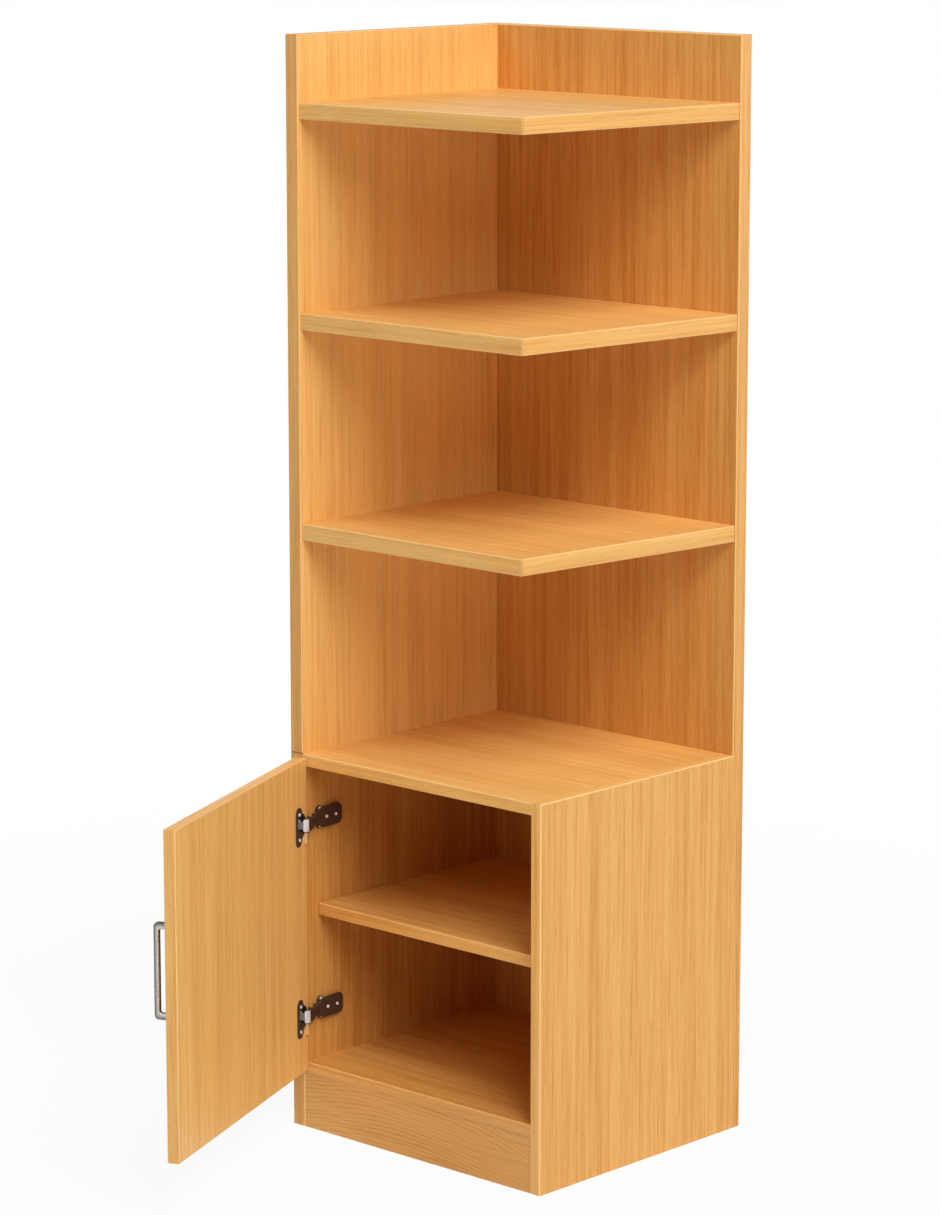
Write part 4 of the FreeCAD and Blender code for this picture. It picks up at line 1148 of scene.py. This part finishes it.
class StageLook(bpy.types.PropertyGroup):
    """Floor, light and camera."""

    floor: colour_setting("Floor", "Colour of the floor", (0.86, 0.86, 0.86))
    floor_size: bpy.props.FloatProperty(
        name="Floor size", description="Side of the square floor", unit="LENGTH", default=24.0)
    sky: bpy.props.FloatProperty(
        name="Room light", description="Strength of the even light from all round", default=0.04)
    key: power_setting("Key lamp", "Power of the high lamp at the right", 424.0)
    side: power_setting("Side lamp", "Power of the lamp beside the camera", 282.0)
    low: power_setting("Low lamp", "Power of the low lamp at the right", 18.0)
    front: power_setting("Front lamp", "Power of the lamp at the front left", 132.0)
    left: power_setting("Left lamp", "Power of the low lamp at the left", 130.0)
    back: power_setting("Back lamp", "Power of the low lamp behind the unit", 190.0)
    camera_place: bpy.props.FloatVectorProperty(
        name="Camera place", description="Where the camera stands", subtype="XYZ", unit="LENGTH",
        default=(4.23848, -4.59802, 1.91070))
    camera_turn: bpy.props.FloatProperty(
        name="Camera turn", description="Turn of the camera about the upright axis", subtype="ANGLE",
        default=math.radians(43.03))
    camera_tilt: bpy.props.FloatProperty(
        name="Camera tilt", description="How far the camera looks down", subtype="ANGLE",
        default=math.radians(10.82))
    lens: bpy.props.FloatProperty(
        name="Lens", description="Focal length on a 36 mm frame", unit="CAMERA", default=123.74)


class SHELF_OT_boards(bpy.types.Operator):
    """Give each board its own cut of straight honey grain, and the plinth its arched grain."""

    bl_idname = "shelf.boards"
    bl_label = "Finish boards"

    def execute(self, context):
        for node, (along, start, shade) in BOARDS.items():
            outer = OUTER_SHADE.get(node, shade)
            dress(node, board_wood(node + "_wood", along, start, shade, outer))
        dress("plinth", plinth_wood())
        return {"FINISHED"}


class SHELF_OT_bands(bpy.types.Operator):
    """Lay the rounded edge bands along the boards' seen edges."""

    bl_idname = "shelf.bands"
    bl_label = "Lay edge bands"

    def execute(self, context):
        # The band tones are fitted per board against these lamps: besides the bands' own tone, the pale one
        # is painted light on the right side and cabinet top, the deep one painted shade on the left boards,
        # the back panel and the cabinet bottom.
        middle = band_wood("middle_band_wood", -0.15)
        deep = band_wood("deep_band_wood", 0.08)
        pale = band_wood("pale_band_wood", -0.40)
        sets = {
            "upper_left_panel": (deep, upright_board_bands("upper_left_panel", 0.13, True, (1.0, 0.0))),
            "cabinet_left_side": (deep, upright_board_bands("cabinet_left_side", 1.57, False, (0.0, 1.0))),
            "cabinet_right_side": (pale, upright_board_bands("cabinet_right_side", 2.71, True)),
            "back_panel": (deep, back_panel_bands("back_panel", 3.33)),
            "top_shelf": (middle, shelf_bands("top_shelf", 4.19)),
            "middle_shelf": (middle, shelf_bands("middle_shelf", 5.47)),
            "lower_shelf": (middle, shelf_bands("lower_shelf", 6.05)),
            "cabinet_top": (pale, front_band("cabinet_top", 7.23)),
            "cabinet_bottom": (deep, front_band("cabinet_bottom", 8.81)),
            "cabinet_shelf": (middle, front_band("cabinet_shelf", 9.67)),
        }
        for node, (finish, shells) in sets.items():
            make_piece(node + "_bands", shells, finish, CARCASS, [node + "_edging"])
        make_piece("door_bands", door_bands(10.4), middle, LEAF, ["door_edging"])
        return {"FINISHED"}


class SHELF_OT_handle(bpy.types.Operator):
    """Fit the brushed bow handle to the door's outer face."""

    bl_idname = "shelf.handle"
    bl_label = "Fit handle"

    def execute(self, context):
        look = context.scene.shelf_metal
        # The dark nickel paints the bar's shade and dark reflections, the pale colour on its inner arrises a
        # painted highlight.
        finish = metal("handle_nickel", look.nickel, look.nickel_highlight, 0.26, local=True, edge=0.35)
        make_piece("bow_handle", bow_handle(), finish, LEAF, ["door_handle"])
        return {"FINISHED"}


class SHELF_OT_hinges(bpy.types.Operator):
    """Fit the cups, arms, plates, links and spring legs of both hinges."""

    bl_idname = "shelf.hinges"
    bl_label = "Fit hinges"

    def execute(self, context):
        look = context.scene.shelf_metal
        # Along the bronze parts' edges the worn colour is wear and a painted highlight.
        bronze = metal("hinge_bronze", look.bronze, look.bronze_wear_and_highlight, 0.34, 0.7, 0.5, local=True)
        bright = metal("link_steel", look.plated, look.plated, 0.30, 0.45, local=True)
        brass = metal("spring_brass", look.spring, look.spring, 0.38, 0.25, local=True)
        for name in HINGES:
            cup = name + "_hinge_cup"
            arm = name + "_hinge_arm"
            plate = name + "_mounting_plate"
            link = name + "_hinge_link"
            make_piece(name + "_cup_and_flange", hinge_cup(name), bronze, LEAF, [cup])
            make_piece(name + "_arm", hinge_arm(name), bronze, CARCASS, [arm])
            make_piece(name + "_plate", mounting_plate(name), bronze, CARCASS, [plate])
            make_piece(name + "_link", hinge_link(name), bright, CARCASS, [link])
            make_piece(name + "_spring_leg", spring_leg(name), brass, LEAF, [])
        return {"FINISHED"}


class SHELF_OT_hinge_screws(bpy.types.Operator):
    """Drive the small cross-head screws of the hinges."""

    bl_idname = "shelf.hinge_screws"
    bl_label = "Drive hinge screws"

    def execute(self, context):
        look = context.scene.shelf_metal
        sizes = context.scene.shelf_sizes
        steel = metal("screw_steel", look.screw, look.screw, 0.30, 0.35, brush=0.3, local=True)
        cup_screws, arm_screws, plate_screws = [], [], []
        for name in HINGES:
            cup_low, cup_high = shut_box(name + "_hinge_cup")
            arm_low, arm_high = node_box(name + "_hinge_arm")
            plate_low = node_box(name + "_mounting_plate")[0]
            level = (cup_low[2] + cup_high[2]) / 2
            for step in CUP_SCREW_STEPS:
                seat = np.array([HINGE_LINE[0] + CUP_SCREW_OUT, cup_high[1], level + step])
                cup_screws.append(opened(pan_screw(seat, Y, X, CUP_SCREW)))
            for back in ARM_SCREW_BACKS:
                depth = arm_low[1] + back
                seat = np.array([arm_high[0], depth, level + lean(name, depth)])
                arm_screws.append(pan_screw(seat, X, Y, ARM_SCREW))
            for step in PLATE_SCREW_STEPS:
                depth = plate_low[1] + sizes.wing_set_back
                seat = np.array([plate_low[0] + sizes.wing_thick, depth, level + lean(name, depth) + step])
                plate_screws.append(pan_screw(seat, X, Y, PLATE_SCREW))
        make_piece("cup_screws", cup_screws, steel, LEAF, ["hinge_cup_screws"])
        make_piece("arm_screws", arm_screws, steel, CARCASS, ["hinge_arm_screws"])
        make_piece("plate_screws", plate_screws, steel, CARCASS, ["mounting_plate_screws"])
        return {"FINISHED"}


class SHELF_OT_fasteners(bpy.types.Operator):
    """Finish the board screws, cams, dowels, supports, pins and caps."""

    bl_idname = "shelf.fasteners"
    bl_label = "Finish fasteners"

    def execute(self, context):
        look = context.scene.shelf_metal
        steel = metal("board_screw_steel", look.zinc, look.bright, 0.34, brush=0.4)
        cast = metal("cam_zinc", look.zinc, look.bright, 0.42, brush=0.2)
        plated = metal("support_nickel", look.zinc, look.bright, 0.30, brush=0.3)
        dowel = plain_wood("dowel_wood", 0.35, (8.3, 1.1, 4.4))
        capped = plain_wood("cap_wood", 0.10, (9.1, 2.7, 6.2))
        finishes = {
            "left_wall_screws": steel,
            "back_panel_screws": steel,
            "handle_screws": steel,
            "cam_bolts": steel,
            "cam_locks": cast,
            "shelf_supports": plated,
            "upper_hinge_pin": plated,
            "lower_hinge_pin": plated,
            "wall_seam_dowels": dowel,
            "right_side_dowels": dowel,
            "plinth_dowels": dowel,
            "handle_screw_caps": capped,
        }
        for node, finish in finishes.items():
            dress(node, finish)
        return {"FINISHED"}


class SHELF_OT_stage(bpy.types.Operator):
    """Set the pale floor, the soft studio light and the camera."""

    bl_idname = "shelf.stage"
    bl_label = "Set stage"

    def execute(self, context):
        scene = context.scene
        look = scene.shelf_stage
        scene.view_settings.view_transform = "Standard"
        lay_floor(look)
        light_room(scene, look)
        for name, (size, place, target) in LAMPS.items():
            hang_lamp(name + "_lamp", getattr(look, name), size, place, target)
        lens = bpy.data.cameras.new("camera")
        lens.sensor_width = 36.0
        lens.lens = look.lens
        lens.clip_end = 60.0
        camera = bpy.data.objects.new("camera", lens)
        camera.location = look.camera_place
        camera.rotation_euler = (RIGHT_ANGLE - look.camera_tilt, 0.0, look.camera_turn)
        scene.collection.objects.link(camera)
        scene.camera = camera
        return {"FINISHED"}


def seen_ray(tree):
    """1 for rays of the camera, of reflections and through glass, and 0 for rays of light."""
    path = add(tree, "ShaderNodeLightPath")
    seen = maths(tree, "MAXIMUM", path.outputs["Is Camera Ray"], path.outputs["Is Glossy Ray"])
    return maths(tree, "MAXIMUM", seen, path.outputs["Is Transmission Ray"])


def lay_floor(look):
    """Floor: a level grid that catches shadow, and is near white to the camera."""
    side = np.linspace(-look.floor_size / 2, look.floor_size / 2, FLOOR_ROWS)
    across, deep = np.meshgrid(side, side)
    points = np.stack([across, deep, np.full_like(across, FLOOR_LEVEL)], axis=-1).reshape(-1, 3)
    index = np.arange(FLOOR_ROWS * FLOOR_ROWS).reshape(FLOOR_ROWS, FLOOR_ROWS)
    quads = np.stack([index[:-1, :-1], index[:-1, 1:], index[1:, 1:], index[1:, :-1]], -1).reshape(-1, 4)
    mesh = bpy.data.meshes.new("floor")
    mesh.from_pydata(points.tolist(), [], quads.tolist())
    floor = bpy.data.objects.new("floor", mesh)
    bpy.context.scene.collection.objects.link(floor)
    material = bpy.data.materials.new("floor_pale")
    material.use_nodes = True
    tree = material.node_tree
    shader = tree.nodes["Principled BSDF"]
    shader.inputs["Base Color"].default_value = rgba(look.floor)
    shader.inputs["Roughness"].default_value = 0.9
    shader.inputs["Specular IOR Level"].default_value = 0.0
    glow = add(tree, "ShaderNodeEmission", {"Strength": 1.0})
    spot = object_place(tree)
    away = add(tree, "ShaderNodeVectorMath", {0: spot}, operation="LENGTH").outputs["Value"]
    share = maths(tree, "MULTIPLY", seen_ray(tree), remap(tree, away, *GLOW_DISTANCES, LEAST_GLOW, 1.0))
    mixed = add(tree, "ShaderNodeMixShader", {0: share, 1: shader.outputs[0], 2: glow.outputs[0]})
    tree.links.new(mixed.outputs[0], tree.nodes["Material Output"].inputs["Surface"])
    mesh.materials.append(material)


def light_room(scene, look):
    """World: even light on the object, plain white to the camera and in reflections."""
    world = bpy.data.worlds.new("room")
    world.use_nodes = True
    tree = world.node_tree
    strength = maths(tree, "MULTIPLY_ADD", seen_ray(tree), 1.0 - look.sky, look.sky)
    backdrop = tree.nodes["Background"]
    backdrop.inputs["Color"].default_value = (1.0, 1.0, 1.0, 1.0)
    tree.links.new(strength, backdrop.inputs["Strength"])
    scene.world = world


def hang_lamp(name, power, size, place, target):
    """A square soft lamp aimed at a point."""
    lamp = bpy.data.lights.new(name, "AREA")
    lamp.energy = power
    lamp.size = size
    hung = bpy.data.objects.new(name, lamp)
    aim = np.array(target) - np.array(place)
    flat = math.hypot(aim[0], aim[1])
    hung.location = place
    hung.visible_camera = False
    hung.rotation_euler = (math.atan2(flat, -aim[2]), 0.0, math.atan2(-aim[0], aim[1]))
    bpy.context.scene.collection.objects.link(hung)


class SHELF_PT_panel(bpy.types.Panel):
    """Lists the steps that dress the shelf unit."""

    bl_label = "Corner shelf unit"
    bl_idname = "SHELF_PT_panel"
    bl_space_type = "VIEW_3D"
    bl_region_type = "UI"
    bl_category = "Shelf unit"

    def draw(self, context):
        for step in STEPS:
            self.layout.operator(step.bl_idname)


LOOKS = {
    "shelf_wood": WoodLook,
    "shelf_metal": MetalLook,
    "shelf_sizes": ShelfSizes,
    "shelf_stage": StageLook,
}
STEPS = (
    SHELF_OT_boards,
    SHELF_OT_bands,
    SHELF_OT_handle,
    SHELF_OT_hinges,
    SHELF_OT_hinge_screws,
    SHELF_OT_fasteners,
    SHELF_OT_stage,
)
CLASSES = (*LOOKS.values(), *STEPS, SHELF_PT_panel)


def register():
    """Adds the classes and hangs the looks on the scene."""
    for entry in CLASSES:
        bpy.utils.register_class(entry)
    for name, look in LOOKS.items():
        setattr(bpy.types.Scene, name, bpy.props.PointerProperty(type=look))


def unregister():
    """Takes the looks and classes away again."""
    for name in LOOKS:
        delattr(bpy.types.Scene, name)
    for entry in reversed(CLASSES):
        bpy.utils.unregister_class(entry)


def main():
    register()
    bpy.ops.shelf.boards()
    bpy.ops.shelf.bands()
    bpy.ops.shelf.handle()
    bpy.ops.shelf.hinges()
    bpy.ops.shelf.hinge_screws()
    bpy.ops.shelf.fasteners()
    bpy.ops.shelf.stage()


if __name__ == "__main__":
    main()
